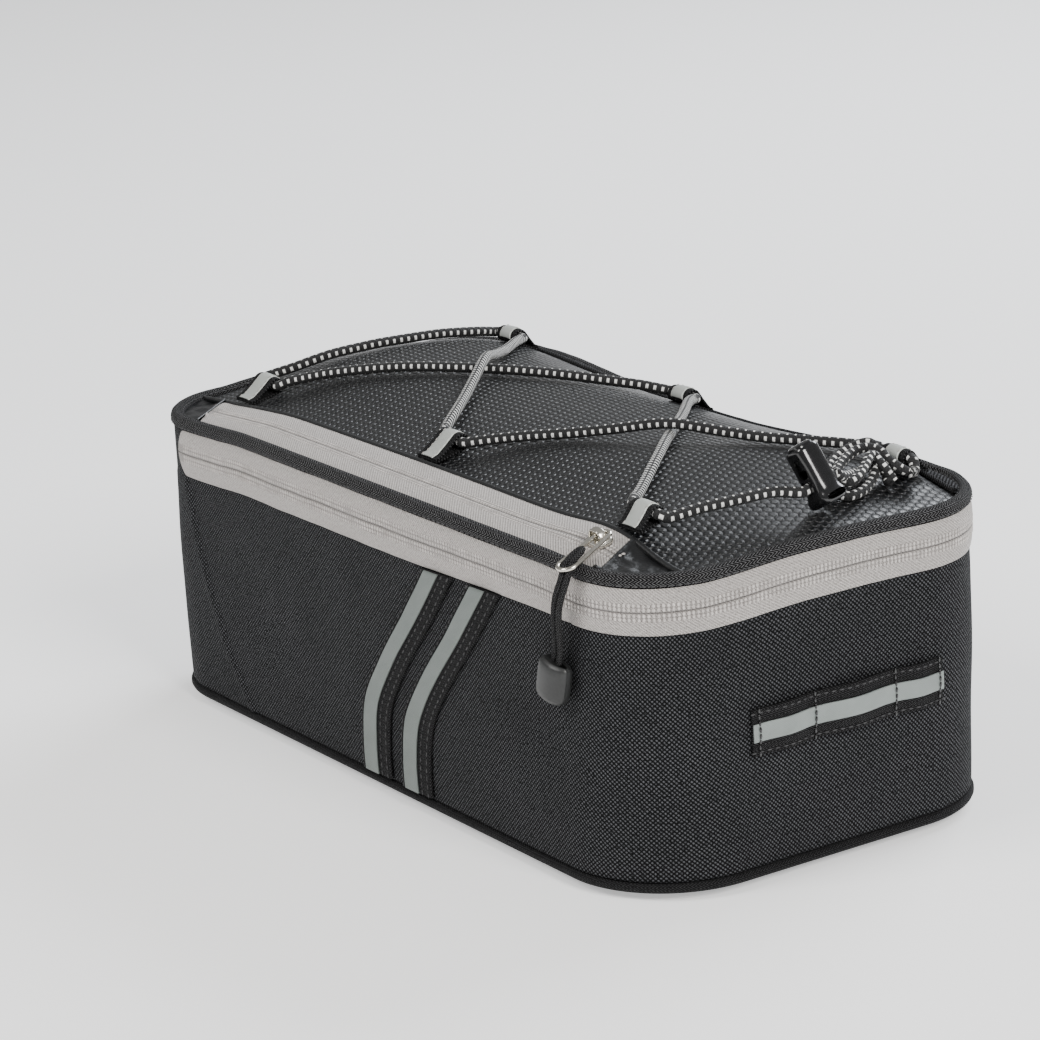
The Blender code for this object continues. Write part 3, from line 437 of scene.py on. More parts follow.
class Paint:
    def __init__(self, name, **fixed):
        self.material = bpy.data.materials.new(name)
        self.material.use_nodes = True
        self.tree = self.material.node_tree
        self.shader = self.tree.nodes["Principled BSDF"]
        for key, value in fixed.items():
            self.shader.inputs[key.replace("_", " ")].default_value = value

    def node(self, kind, settings, sockets, out=0):
        made = self.tree.nodes.new("ShaderNode" + kind)
        for key, value in settings.items():
            if key == "stops":
                ramp = made.color_ramp
                while len(ramp.elements) < len(value):
                    ramp.elements.new(0.5)
                for element, (place, colour) in zip(ramp.elements, value):
                    element.position = place
                    element.color = (*colour, 1.0)
            else:
                setattr(made, key, value)
        for key, value in sockets.items():
            if isinstance(value, Wire):
                self.tree.links.new(value.socket, made.inputs[key])
            else:
                made.inputs[key].default_value = value
        return Wire(self, made.outputs[out])

    def cloth(self):
        # the piece's own two directions, in millimetres
        place = self.node("UVMap", {"uv_map": "cloth"}, {})
        parts = self.tree.nodes.new("ShaderNodeSeparateXYZ")
        self.tree.links.new(place.socket, parts.inputs[0])
        return Wire(self, parts.outputs[0]) * 1000.0, Wire(self, parts.outputs[1]) * 1000.0

    def place(self):
        return self.node("TexCoord", {}, {}, 3)

    def joined(self, x, y, z=0.0):
        return self.node("CombineXYZ", {}, {0: x, 1: y, 2: z})

    def noise(self, vector, scale, detail=2.0, roughness=0.5):
        return self.node("TexNoise", {}, {"Vector": vector, "Scale": scale, "Detail": detail, "Roughness": roughness})

    def colours(self, share, a, b):
        made = self.tree.nodes.new("ShaderNodeMix")
        made.data_type = "RGBA"
        for index, value in ((0, share), (6, a), (7, b)):
            if isinstance(value, Wire):
                self.tree.links.new(value.socket, made.inputs[index])
            elif index:
                made.inputs[index].default_value = (*value, 1.0)
            else:
                made.inputs[index].default_value = value
        return Wire(self, made.outputs[2])

    def relief(self, height, distance, strength=1.0, under=None):
        sockets = {"Height": height, "Distance": distance, "Strength": strength}
        if under is not None:
            sockets["Normal"] = under
        return self.node("Bump", {}, sockets)

    def wear(self, **links):
        for key, value in links.items():
            self.tree.links.new(value.socket, self.shader.inputs[key.replace("_", " ")])
        return self.material


def makePolyester():
    paint = Paint("blackPolyester", Specular_IOR_Level=0.14)
    u, v = paint.cloth()
    pitch = 1.20                                 # mm between yarns
    a, b = (u + v) * (math.pi / pitch / 1.414), (u - v) * (math.pi / pitch / 1.414)
    knots = (a.sine() * b.sine()).size()
    plain = paint.noise(paint.joined(u, v), 1.1, 3.0, 0.7)
    patch = paint.noise(paint.joined(u * 0.03, v * 0.03), 1.0, 2.0)
    speck = ((knots * 0.7 + a.sine().size() * 0.3) * plain.step(0.12, 0.62)).step(0.30, 0.85)
    colour = paint.colours(speck * (patch * 0.6 + 0.7), (0.0014, 0.0015, 0.0017), (0.074, 0.076, 0.082))
    bump = paint.relief(knots * 0.9 + plain * 0.3, 0.00034, 0.9)
    return paint.wear(Base_Color=colour, Roughness=0.92 - speck * 0.30, Normal=bump)


def makeZipTape():
    # v is the way across the tape, 0 at its slit; the coils lie on both sides of the slit
    paint = Paint("greyZipTape", Sheen_Weight=0.25, Sheen_Roughness=0.5, Specular_IOR_Level=0.25)
    u, v = paint.cloth()
    twill = ((u * 0.75 + v) * (2 * math.pi / 1.15)).sine()
    weft = ((u * 0.75 - v) * (2 * math.pi / 1.30)).sine()
    grain = paint.noise(paint.joined(u, v), 1.05, 3.0, 0.70)
    cloud = paint.noise(paint.joined(u * 0.05, v * 0.09), 1.0, 3.0)
    off = v.size()
    # band of coils on each side of the slit, used only to paint the tape darker there: painted shade between and
    # under the teeth
    coilShade = 1 - off.step(3.0, 3.5)
    # the slit line, sunk in the bump and painted near-black in the colour: painted shade in the gap between the two
    # halves
    slit = 1 - off.step(0.06, 0.20)
    weaveTone = (grain - 0.5) * 1.7 + twill * 0.26 + weft * twill * 0.16 + 0.48
    colour = paint.colours(weaveTone, (0.195, 0.178, 0.167), (0.560, 0.525, 0.497))
    colour = paint.colours(cloud.step(0.30, 0.75) * 0.22, colour, (0.33, 0.305, 0.290))
    # painted shade: the tape is darkened across the coil band
    colour = paint.colours(coilShade * 0.45, colour, (0.120, 0.108, 0.100))
    # painted shade: the slit is painted near-black
    colour = paint.colours(slit * 0.80, colour, (0.045, 0.041, 0.039))
    bump = paint.relief(twill * 0.45 + grain * 0.9 - slit * 1.2, 0.00026, 1.0)
    return paint.wear(Base_Color=colour, Roughness=0.88 - grain * 0.12, Normal=bump)


def makeHerringbone(name, tint, pitch, band, lift=1.0):
    paint = Paint(name, Specular_IOR_Level=0.16)
    u, v = paint.cloth()
    zig = v.fold(band) * (2.0 * band)
    stripe = (u + zig * 0.9).ripple(pitch)
    cross = v.ripple(pitch * 0.62)
    grain = paint.noise(paint.joined(u, v), 1.3, 3.0, 0.7)
    mark = (stripe.step(0.50, 0.92) * (cross * 0.4 + 0.6) * grain.step(0.20, 0.60)).step(0.10, 0.80)
    colour = paint.colours(mark, (0.0022, 0.0022, 0.0025), tint)
    bump = paint.relief(stripe * 0.9 + cross * 0.3 + grain * 0.3, 0.00034 * lift, 0.9)
    return paint.wear(Base_Color=colour, Roughness=0.85 - mark * 0.25, Normal=bump)


def makeHexVinyl():
    paint = Paint("dimpledVinyl", Specular_IOR_Level=0.28, Coat_Roughness=0.26)
    u, v = paint.cloth()
    pitch = 3.45                                 # mm from bump to bump
    x, y = u / pitch, v / pitch
    tall = math.sqrt(3.0)

    def cell(ox, oy):
        return (x + ox) % 1.0 - 0.5, (y + oy) % tall - tall / 2

    ax, ay = cell(0.0, 0.0)
    bx, by = cell(0.5, tall / 2)
    near = (ax * ax + ay * ay).least(bx * bx + by * by) ** 0.5
    cap = 1 - near.step(0.22, 0.52)
    # ring round each cap, used only to paint a light rim in the colour: painted highlight
    rim = near.step(0.30, 0.42) * (1 - near.step(0.42, 0.52))
    pick = (ax * ax + ay * ay) < (bx * bx + by * by)
    slope = ax * pick + bx * (1 - pick)
    soft = paint.noise(paint.joined(u * 0.02, v * 0.02), 1.0, 3.0)
    grain = paint.noise(paint.joined(u, v), 1.1, 3.0, 0.6)
    # the grooves between the caps are painted darker than the caps: painted shade
    colour = paint.colours(cap, (0.0012, 0.0013, 0.0015), (0.0070, 0.0075, 0.0085))
    # painted highlight: the rims of the caps are painted lighter
    colour = paint.colours(rim * 0.6, colour, (0.060, 0.061, 0.064))
    bump = paint.relief(cap + slope * 0.55 + grain * 0.05 + soft * 0.6, 0.00085, 1.0)
    rough = 0.36 - cap * 0.10 + grain * 0.10
    return paint.wear(Base_Color=colour, Roughness=rough, Coat_Weight=cap * 0.30, Normal=bump)


def makeGlossVinyl():
    paint = Paint("glossVinyl", Specular_IOR_Level=0.35, Coat_Weight=0.18, Coat_Roughness=0.20)
    place = paint.place()
    folds = paint.noise(place, 120.0, 4.0, 0.62)
    fine = paint.noise(place, 620.0, 3.0, 0.6)
    colour = paint.colours(folds, (0.0025, 0.0026, 0.0029), (0.0140, 0.0146, 0.0156))
    bump = paint.relief(folds * 1.0 + fine * 0.10, 0.0012, 0.65)
    return paint.wear(Base_Color=colour, Roughness=0.26 + fine * 0.22, Normal=bump)


def makeReflective(name, light, dark, lift=1.0, edge=None):
    paint = Paint(name, Metallic=0.20, Specular_IOR_Level=0.5, Sheen_Weight=0.10)
    u, v = paint.cloth()
    lattice = (u + v).fold(0.9).most((u - v).fold(0.9)).step(0.30, 0.50)
    cloud = paint.noise(paint.joined(u * 0.11, v * 0.11), 1.0, 3.0)
    grain = paint.noise(paint.joined(u, v), 2.6, 2.0, 0.7)
    colour = paint.colours(lattice * 0.20 + grain * 0.35 + (cloud - 0.5) * 0.6, light, dark)
    if edge:
        pale = tuple(min(1.0, 1.35 * c) for c in light)
        colour = paint.colours(v.size().step(edge - 0.7, edge - 0.4) * 0.7, colour, pale)
    bump = paint.relief(lattice * 0.5 + grain * 0.5, 0.00009 * lift, 0.7)
    return paint.wear(Base_Color=colour, Roughness=0.46 + grain * 0.22, Normal=bump)


def makeBraid(name, thick, loose=0.0):
    # u along the cord, v round it; the attribute says where the cord shows its chevrons
    paint = Paint(name, Specular_IOR_Level=0.30, Sheen_Weight=0.08)
    u, v = paint.cloth()
    turn = v / (math.pi * thick)                 # turns round the cord
    pitch = 3.1
    chevron = paint.node("Attribute", {"attribute_name": "chevron"}, {}, 2)
    side = (turn * 2.0 + loose).ripple()         # 0 on two lines along the cord, 1 between them
    dash = u.ripple(pitch)
    other = (u / pitch + 0.5).ripple()
    fleck = (1 - dash.step(0.28, 0.40)) * (1 - side.step(0.22, 0.34))
    small = (1 - other.step(0.16, 0.28)) * side.step(0.70, 0.82)
    vee = (u + side * 1.5).ripple(2.0)
    stripe = (1 - vee.step(0.28, 0.42)) * (1 - side.step(0.80, 0.94))
    white = (fleck.most(small)) * (1 - chevron) + stripe * chevron
    strands = (u + turn * 6.3).fold(1.05) + (u - turn * 6.3).fold(1.05)
    grain = paint.noise(paint.joined(u, v), 2.4, 2.0, 0.7)
    black = paint.colours(strands * 0.6 + grain * 0.4, (0.0022, 0.0022, 0.0025), (0.024, 0.024, 0.025))
    colour = paint.colours(white, black, (0.78, 0.78, 0.76))
    bump = paint.relief(strands * 0.8 + dash * 0.9 * (1 - chevron) + white * 0.5, 0.00030, 0.9)
    return paint.wear(Base_Color=colour, Roughness=0.78 - white * 0.28, Normal=bump)


def makePlain(name, base, lighter, roughness, scale, lift, metallic=0.0, coat=0.0, spread=0.12):
    paint = Paint(name, Metallic=metallic, Coat_Weight=coat, Coat_Roughness=0.12)
    place = paint.place()
    fine = paint.noise(place, scale, 4.0, 0.6)
    broad = paint.noise(place, scale * 0.12, 3.0, 0.5)
    colour = paint.colours((fine * 0.5 + broad * 0.5).step(0.30, 0.70), base, lighter)
    bump = paint.relief(fine, lift, 0.6)
    return paint.wear(Base_Color=colour, Roughness=roughness + (broad - 0.5) * spread + (fine - 0.5) * spread * 0.5,
                      Normal=bump)


looks = {
    "cloth": makePolyester(),
    "tape": makeZipTape(),
    "binding": makeHerringbone("rimBinding", (0.150, 0.150, 0.153), 1.5, 2.4, 1.2),
    "webbing": makeHerringbone("blackWebbing", (0.050, 0.050, 0.052), 1.3, 3.2, 0.9),
    "flatCord": makeHerringbone("flatCord", (0.085, 0.085, 0.087), 1.1, 1.5, 0.9),
    "piping": makeHerringbone("baseRoll", (0.040, 0.040, 0.042), 1.3, 2.2),
    "dimpled": makeHexVinyl(),
    "gloss": makeGlossVinyl(),
    "reflective": makeReflective("reflectiveTape", (0.245, 0.272, 0.262), (0.115, 0.135, 0.128)),
    "sideTape": makeReflective("sideTape", (0.165, 0.190, 0.178), (0.070, 0.085, 0.078)),
    "loopTape": makeReflective("loopTape", (0.460, 0.480, 0.458), (0.270, 0.290, 0.272), 1.0, 3.7),
    "braid": makeBraid("cordBraid", 4.0),
    "tiedBraid": makeBraid("tiedBraid", 4.0, 0.35),
    "nickel": makePlain("nickelPlate", (0.62, 0.59, 0.52), (0.80, 0.77, 0.70), 0.20, 420.0, 0.00002, metallic=1.0),
    "rubber": makePlain("gripRubber", (0.009, 0.0095, 0.0095), (0.019, 0.020, 0.020), 0.42, 900.0, 0.00004),
    "lock": makePlain("lockPlastic", (0.0020, 0.0021, 0.0023), (0.005, 0.005, 0.006), 0.20, 500.0, 0.00003, coat=0.5),
    "thread": makePlain("blackThread", (0.012, 0.012, 0.013), (0.060, 0.060, 0.062), 0.75, 2500.0, 0.00006),
    "greyThread": makePlain("greyThread", (0.30, 0.285, 0.270), (0.46, 0.44, 0.42), 0.75, 2500.0, 0.00006),
    "tapeTeeth": makePlain("zipTeeth", (0.34, 0.315, 0.298), (0.60, 0.563, 0.535), 0.80, 1800.0, 0.00006),
}
print("materials made")


# repeats along a row: beads of one size on points, each with its own two directions
def makeBeadTree(name, look):
    tree = bpy.data.node_groups.new(name, "GeometryNodeTree")
    tree.interface.new_socket("Geometry", in_out="INPUT", socket_type="NodeSocketGeometry")
    for label in ("Long", "Wide", "High"):
        tree.interface.new_socket(label, in_out="INPUT", socket_type="NodeSocketFloat")
    tree.interface.new_socket("Wander", in_out="INPUT", socket_type="NodeSocketFloat")
    tree.interface.new_socket("Geometry", in_out="OUTPUT", socket_type="NodeSocketGeometry")

    def node(kind, settings, sockets):
        made = tree.nodes.new(kind)
        for key, value in settings.items():
            setattr(made, key, value)
        for key, value in sockets.items():
            if isinstance(value, bpy.types.NodeSocket):
                tree.links.new(value, made.inputs[key])
            else:
                made.inputs[key].default_value = value
        return made

    given = node("NodeGroupInput", {}, {})
    bead = node("GeometryNodeMeshUVSphere", {}, {"Segments": 8, "Rings": 5, "Radius": 0.5})
    along = node("GeometryNodeInputNamedAttribute", {"data_type": "FLOAT_VECTOR"}, {"Name": "along"})
    outward = node("GeometryNodeInputNamedAttribute", {"data_type": "FLOAT_VECTOR"}, {"Name": "outward"})
    first = node("FunctionNodeAlignRotationToVector", {"axis": "X"}, {"Vector": along.outputs[0]})
    second = node("FunctionNodeAlignRotationToVector", {"axis": "Z", "pivot_axis": "X"},
                  {"Rotation": first.outputs[0], "Vector": outward.outputs[0]})
    chance = node("FunctionNodeRandomValue", {"data_type": "FLOAT"}, {"Seed": 7})
    spread = node("ShaderNodeMath", {"operation": "MULTIPLY_ADD"},
                  {0: chance.outputs[1], 1: given.outputs["Wander"], 2: 1.0})
    size = node("ShaderNodeCombineXYZ", {}, {0: given.outputs["Long"], 1: given.outputs["Wide"],
                                            2: given.outputs["High"]})
    scaled = node("ShaderNodeVectorMath", {"operation": "SCALE"}, {0: size.outputs[0], 3: spread.outputs[0]})
    placed = node("GeometryNodeInstanceOnPoints", {},
                  {"Points": given.outputs["Geometry"], "Instance": bead.outputs[0],
                   "Rotation": second.outputs[0], "Scale": scaled.outputs[0]})
    real = node("GeometryNodeRealizeInstances", {}, {0: placed.outputs[0]})
    smooth = node("GeometryNodeSetShadeSmooth", {}, {"Geometry": real.outputs[0]})
    painted = node("GeometryNodeSetMaterial", {}, {"Geometry": smooth.outputs[0], "Material": look})
    result = node("NodeGroupOutput", {}, {})
    tree.links.new(painted.outputs[0], result.inputs[0])
    return tree


beadTrees = {}


def beads(name, rows, look, size, spread=0.0):
    # rows holds (points, along, outward) arrays in the bag's own frame; size is (long, wide, high)
    points = np.concatenate([row[0] for row in rows]) + seat
    mesh = bpy.data.meshes.new(name + "Points")
    mesh.from_pydata(points.tolist(), [], [])
    for label, index in (("along", 1), ("outward", 2)):
        values = np.concatenate([row[index] for row in rows]).astype(np.float32)
        mesh.attributes.new(label, "FLOAT_VECTOR", "POINT").data.foreach_set("vector", values.ravel())
    source = bpy.data.objects.new(name + "Points", mesh)
    bpy.context.collection.objects.link(source)
    if look not in beadTrees:
        beadTrees[look] = makeBeadTree(look + "Beads", looks[look])
    step = source.modifiers.new("beads", "NODES")
    step.node_group = beadTrees[look]
    values = {"Long": size[0], "Wide": size[1], "High": size[2], "Wander": spread}
    for item in beadTrees[look].interface.items_tree:
        if item.in_out == "INPUT" and item.name in values:
            step[item.identifier] = values[item.name]
    made = bpy.data.meshes.new_from_object(source.evaluated_get(bpy.context.evaluated_depsgraph_get()))
    source.modifiers.clear()
    bpy.data.objects.remove(source, do_unlink=True)
    thing = bpy.data.objects.new(name, made)
    bpy.context.collection.objects.link(thing)
    return thing


def rowOnRun(points, outward, spacing, start=0.0, stop=0.0):
    # even places on a run of points, with the directions along it and out of the cloth
    walked = walkedAlong(points)
    count = max(2, int((walked[-1] - start - stop) / spacing))
    spots = np.linspace(start, walked[-1] - stop, count)
    places, outs = resampled(points, walked, spots), resampled(outward, walked, spots)
    tangents = np.gradient(places, axis=0)
    return places, tangents / np.linalg.norm(tangents, axis=1)[:, None], outs


def wallOut(t, height):
    # direction straight out of the wall
    step = 0.004
    before, after = wallPoint(t - step, height), wallPoint(t + step, height)
    run = after - before
    out = np.stack((run[..., 1], -run[..., 0], 0 * run[..., 0]), axis=-1)
    return out / np.linalg.norm(out, axis=-1)[..., None]


def lidOut(x, y):
    step = 0.0005
    sx = (lidZ(x + step, y) - lidZ(x - step, y)) / (2 * step)
    sy = (lidZ(x, y + step) - lidZ(x, y - step)) / (2 * step)
    out = np.stack((-sx, -sy, np.ones_like(sx)), axis=-1)
    return out / np.linalg.norm(out, axis=-1)[..., None]


def lidGrid(x, y, lift=0.0):
    grid = np.stack((x, y, lidZ(x, y)), axis=-1)
    return grid + lidOut(x, y) * np.asarray(lift)[..., None]


def settle(piece, body=bagBody, nodes=()):
    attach(piece, body)
    if nodes:
        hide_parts(*nodes)
    return piece


def sewn(name, grid, look, u, v, towards, thickness, node, rounding=0.0):
    # a thin sheet sewn on the bag, with its face towards one way, or out where that is None
    sheet = facing(gridPiece(name, grid, looks[look], u, v), towards)
    return settle(thicken(sheet, thickness, rounding=rounding), nodes=(node,))


def stitched(name, rows, look, size):
    settle(beads(name, rows, look, size, 0.1))


# walls
walls = {"columns": 420, "rows": 44, "foot": 0.0044, "thickness": 0.0026, "baseThickness": 0.0020,
         "baseLift": 0.0016,
         "baseRings": ((0.0040, 1.0), (0.0060, 1.0), (0.0120, 1.0), (0.0380, 1.0), (0.0380, 0.6), (0.0380, 0.2)),
         "pipingSize": 0.0038, "pipingProud": 0.0012}


def makeWalls():
    t = stationAt(np.linspace(0, girth, walls["columns"], endpoint=False))
    heights = np.concatenate((np.linspace(walls["foot"], wallHeight - 0.002, walls["rows"]),
                              np.linspace(wallHeight, tapeTop, 6)))
    grid = skin(t[:, None], heights[None, :], 0.0)
    # overlap of the curved seam on the near wall
    places = np.interp(heights, [h for h, _ in frontSeam], [x for _, x in frontSeam])
    gap = grid[..., 0] - places[None, :]
    onNear = ((t < 1.0) | (t > 7.4))[:, None] & (heights < wallHeight)[None, :]
    ridge = np.where(onNear, 0.0006 * np.exp(-((gap + 0.0020) / 0.0024) ** 2) - 0.0005 * np.exp(-(gap / 0.0018) ** 2)
                     + 0.0004 / (1 + np.exp(np.clip(gap / 0.0006, -40, 40))) * np.exp(-np.abs(gap) / 0.02), 0.0)
    grid += wallOut(t[:, None], heights[None, :]) * ridge[..., None]
    u = np.linspace(0, girth, walls["columns"] + 1)
    thing = facing(gridPiece("bodyWalls", grid, looks["cloth"], u, heights, closedRows=True))
    settle(thicken(thing, walls["thickness"]), nodes=("body_shell",))

    # base panel
    rings = []
    for inset, share in walls["baseRings"]:
        x, y = outline(t, 0.0, inset)
        rings.append(np.stack((x * blend(0.93, 1.0, share), y * share, 0 * x + walls["baseLift"]), axis=-1))
    points = np.concatenate(rings)
    count = len(t)
    faces = [(r * count + k, r * count + (k + 1) % count, (r + 1) * count + (k + 1) % count, (r + 1) * count + k)
             for r in range(len(rings) - 1) for k in range(count)]
    faces.append(tuple(range((len(rings) - 1) * count, len(rings) * count)))
    uv = [(points[k][0], points[k][1]) for face in faces for k in face]
    base = facing(finishMesh("basePanel", points, faces, looks["cloth"], uv), (0, 0, -1))
    settle(thicken(base, walls["baseThickness"]))

    # rolled rim round the base
    ring = wallPoint(t, 0.0 * t, walls["pipingProud"] - walls["pipingSize"] / 2)
    ring[:, 2] = walls["pipingSize"] / 2
    roll = sweepPiece("baseRoll", ring, roundSection(walls["pipingSize"] / 2, 14), looks["piping"], cyclic=True)
    settle(roll, nodes=("base_piping",))
    print("walls made")


makeWalls()


# grey zip bands
zips = {"bandProud": 0.0005, "bandCrown": 0.0007, "slit": 0.0002, "endRound": 0.0065, "pocketEndRound": 0.0036,
        "mainThickness": 0.0012, "pocketThickness": 0.0010, "tooth": (0.0015, 0.00115, 0.00060),
        "toothSpacing": 0.0017, "toothRows": (0.0011, 0.0026), "toothFromEnd": 0.006,
        "mainEnds": (-0.10, 5.03), "creaseAt": 0.1335, "creaseWide": 0.0012, "creaseDeep": 0.0006}
bandAcross = np.sin(np.linspace(-math.pi / 2, math.pi / 2, 17))
bandAcross = np.unique(np.concatenate((bandAcross, (-0.09, -0.045, -0.02, 0.02, 0.045, 0.09))))


def bandShape(across):
    # crown of the tape over its width, from -1 to 1, with the slit sunk in the middle
    crown = zips["bandCrown"] * (1 - across ** 4)
    return crown - zips["slit"] * np.exp(-(across / 0.045) ** 2) * 0.8


def roundedEnd(half, r, fromEnd):
    # half the width of a tape whose ends are rounded by r
    past = np.clip(r - fromEnd, 0, r)
    return half - r + np.sqrt(np.maximum(r * r - past * past, 0.0))


def makeTeeth(name, across, runAndOut):
    # two rows of coils on each side of the slit
    rows = []
    for side in (-1, 1):
        for offset in zips["toothRows"]:
            places, _, outward = rowOnRun(*runAndOut(side * offset), zips["toothSpacing"])
            rows.append((places, np.tile(across, (len(places), 1)), outward))
    settle(beads(name, rows, "tapeTeeth", zips["tooth"], 0.12))


def makeMainBand():
    low, high = wallHeight + 0.0003, tapeTop - 0.0001
    half = (high - low) / 2
    middle = (high + low) / 2
    start, stop = (runAt(end) for end in zips["mainEnds"])
    s = np.linspace(start, stop, 560)
    s = np.unique(np.concatenate((s, np.linspace(start, start + 0.012, 24), np.linspace(stop - 0.012, stop, 24))))
    t = stationAt(s)
    reach = roundedEnd(half, zips["endRound"], np.minimum(s - start, stop - s))
    place = bandAcross[None, :] * reach[:, None]
    out = zips["bandProud"] + bandShape(bandAcross)[None, :] + 0.00025 * wander(s[:, None], place, 0.02, 5.0)
    crease = np.exp(-((s - runAt(tAlong(0, middle, zips["creaseAt"]))) / zips["creaseWide"]) ** 2)
    out = out - zips["creaseDeep"] * crease[:, None]
    grid = skin(t[:, None], middle + place, out)
    sewn("mainZipBand", grid, "tape", s - start, place, None, zips["mainThickness"], "main_zip_band")
    inner = t[(s > start + zips["toothFromEnd"]) & (s < stop - zips["toothFromEnd"])]

    def runAndOut(offset):
        lift = zips["bandProud"] + bandShape(np.array(offset / half)) - 0.00005
        return skin(inner, middle + offset + 0 * inner, lift), wallOut(inner, middle + offset)

    makeTeeth("mainZipTeeth", (0.0, 0.0, 1.0), runAndOut)


# how far each end of the pocket band runs on, at the near edge and at the seam
rearReach, frontReach = (0.0130, 0.0045), (0.0, 0.0150)


def pocketShift(x, share):
    # share is 0 at the near edge and 1 at the seam
    end = length / 2 - form["pocketEnd"]
    return ease(0.080, end, x) * blend(*rearReach, share) - ease(0.080, end, -x) * blend(*frontReach, share)


def lidNearY(x, inset):
    # inner edge of the rim on the near side, round its two corners too
    _, toFront, toRear, toSide, radius = edges(rimHeight, inset)
    past = np.clip(np.maximum(x - (toRear - radius), (radius - toFront) - x), 0.0, radius * 0.999)
    return np.where(past > 0, radius - toSide - np.sqrt(radius ** 2 - past ** 2), lidSideY(x, inset, False))


def makePocketBand():
    front, rear = -(length / 2 - form["pocketEnd"]) + 0.0002, length / 2 - form["pocketEnd"]
    x = np.unique(np.concatenate((np.linspace(front, rear, 210), np.linspace(front, front + 0.012, 22),
                                  np.linspace(rear - 0.010, rear, 14))))
    nearY = lidSideY(x, lidInset - 0.0002, False)
    farY = 0 * x + seamNear - 0.0006
    reach = roundedEnd((farY - nearY) / 2, zips["pocketEndRound"], x - front)
    place = bandAcross[None, :] * reach[:, None]
    y = ((farY + nearY) / 2)[:, None] + place
    xx = x[:, None] + pocketShift(x[:, None], (bandAcross[None, :] + 1) / 2)
    cornerY = lidNearY(xx, lidInset - 0.0002)
    y = farY[:, None] - (farY[:, None] - y) * ((farY[:, None] - cornerY) / (farY - nearY)[:, None])
    lift = 0.0004 + bandShape(bandAcross)[None, :] * 0.9
    grid = lidGrid(xx, y, lift + 0 * xx)
    sewn("pocketZipBand", grid, "tape", xx - front, place, (0, 0, 1), zips["pocketThickness"],
         "pocket_zip_band")
    kept = x > front + zips["toothFromEnd"]
    spots = x[kept] + pocketShift(x[kept], 0.5)

    def runAndOut(offset):
        y = ((farY + nearY) / 2)[kept] + offset
        return lidGrid(spots, y, 0.0009 + 0 * y), lidOut(spots, y)

    makeTeeth("pocketZipTeeth", (0.0, 1.0, 0.0), runAndOut)


makeMainBand()
makePocketBand()
print("zip bands made")


# rim binding
binding = {"proud": 0.0011, "stitchSpacing": 0.0030, "stitch": (0.0019, 0.0006, 0.0004)}


def makeBinding():
    t = stationAt(np.linspace(0, girth, 400, endpoint=False))
    depth, tall = form["bindingDepth"], form["bindingHeight"]
    proud = binding["proud"]
    # (inset, share of the height) of the folded webbing, from its outer lower edge over the top to the inner one
    section = [
        (-0.0002, 0.00), (-proud * 0.85, 0.03), (-proud, 0.20), (-proud - 0.0002, 0.45), (-proud, 0.66),
        (-proud * 0.72, 0.84), (-proud * 0.2, 0.97), (0.0006, 1.06), (0.0016, 1.08), (0.0028, 1.03),
        (depth - 0.0006, 0.90), (depth, 0.72), (depth + 0.0003, 0.52), (depth, 0.30), (depth, 0.0),
    ]
    s = runAt(t)
    waver = 0.00018 * wander(s, 0 * s, 0.009, 33.0) + 0.00030 * wander(s, 0 * s, 0.045, 35.0)
    grid = np.stack([wallPoint(t, bindingFoot + tall * share + 0.6 * waver, -inset + waver)
                     for inset, share in section], axis=1)
    around = walkedAlong(grid[0])
    around = np.append(around, around[-1] + depth)
    u = np.linspace(0, girth, len(t) + 1)
    thing = turnOut(gridPiece("rimBinding", grid, looks["binding"], u, around, closedRows=True, closedColumns=True))
    settle(thing, nodes=("rim_binding",))
    loop = np.append(t, 8.0)
    rows = []
    for inset, share, tilt in ((-proud - 0.0001, 0.16, 0.0), (depth - 0.0001, 0.80, 1.0)):
        run = wallPoint(loop, bindingFoot + tall * share, -inset)
        out = wallOut(loop, 0 * loop + rimHeight)
        if tilt:
            out = -0.45 * out + np.array((0, 0, 0.9))
        rows.append(rowOnRun(run, out, binding["stitchSpacing"]))
    stitched("bindingStitches", rows, "thread", binding["stitch"])


makeBinding()


# lid
lid = {"seamRadius": 0.0012, "thickness": 0.0016, "patchThickness": 0.0012, "seamWide": 0.0035, "seamDeep": 0.0007}


def seamSink(y, seam):
    return -lid["seamDeep"] * np.exp(-(np.abs(y - seam) / lid["seamWide"]) ** 2)


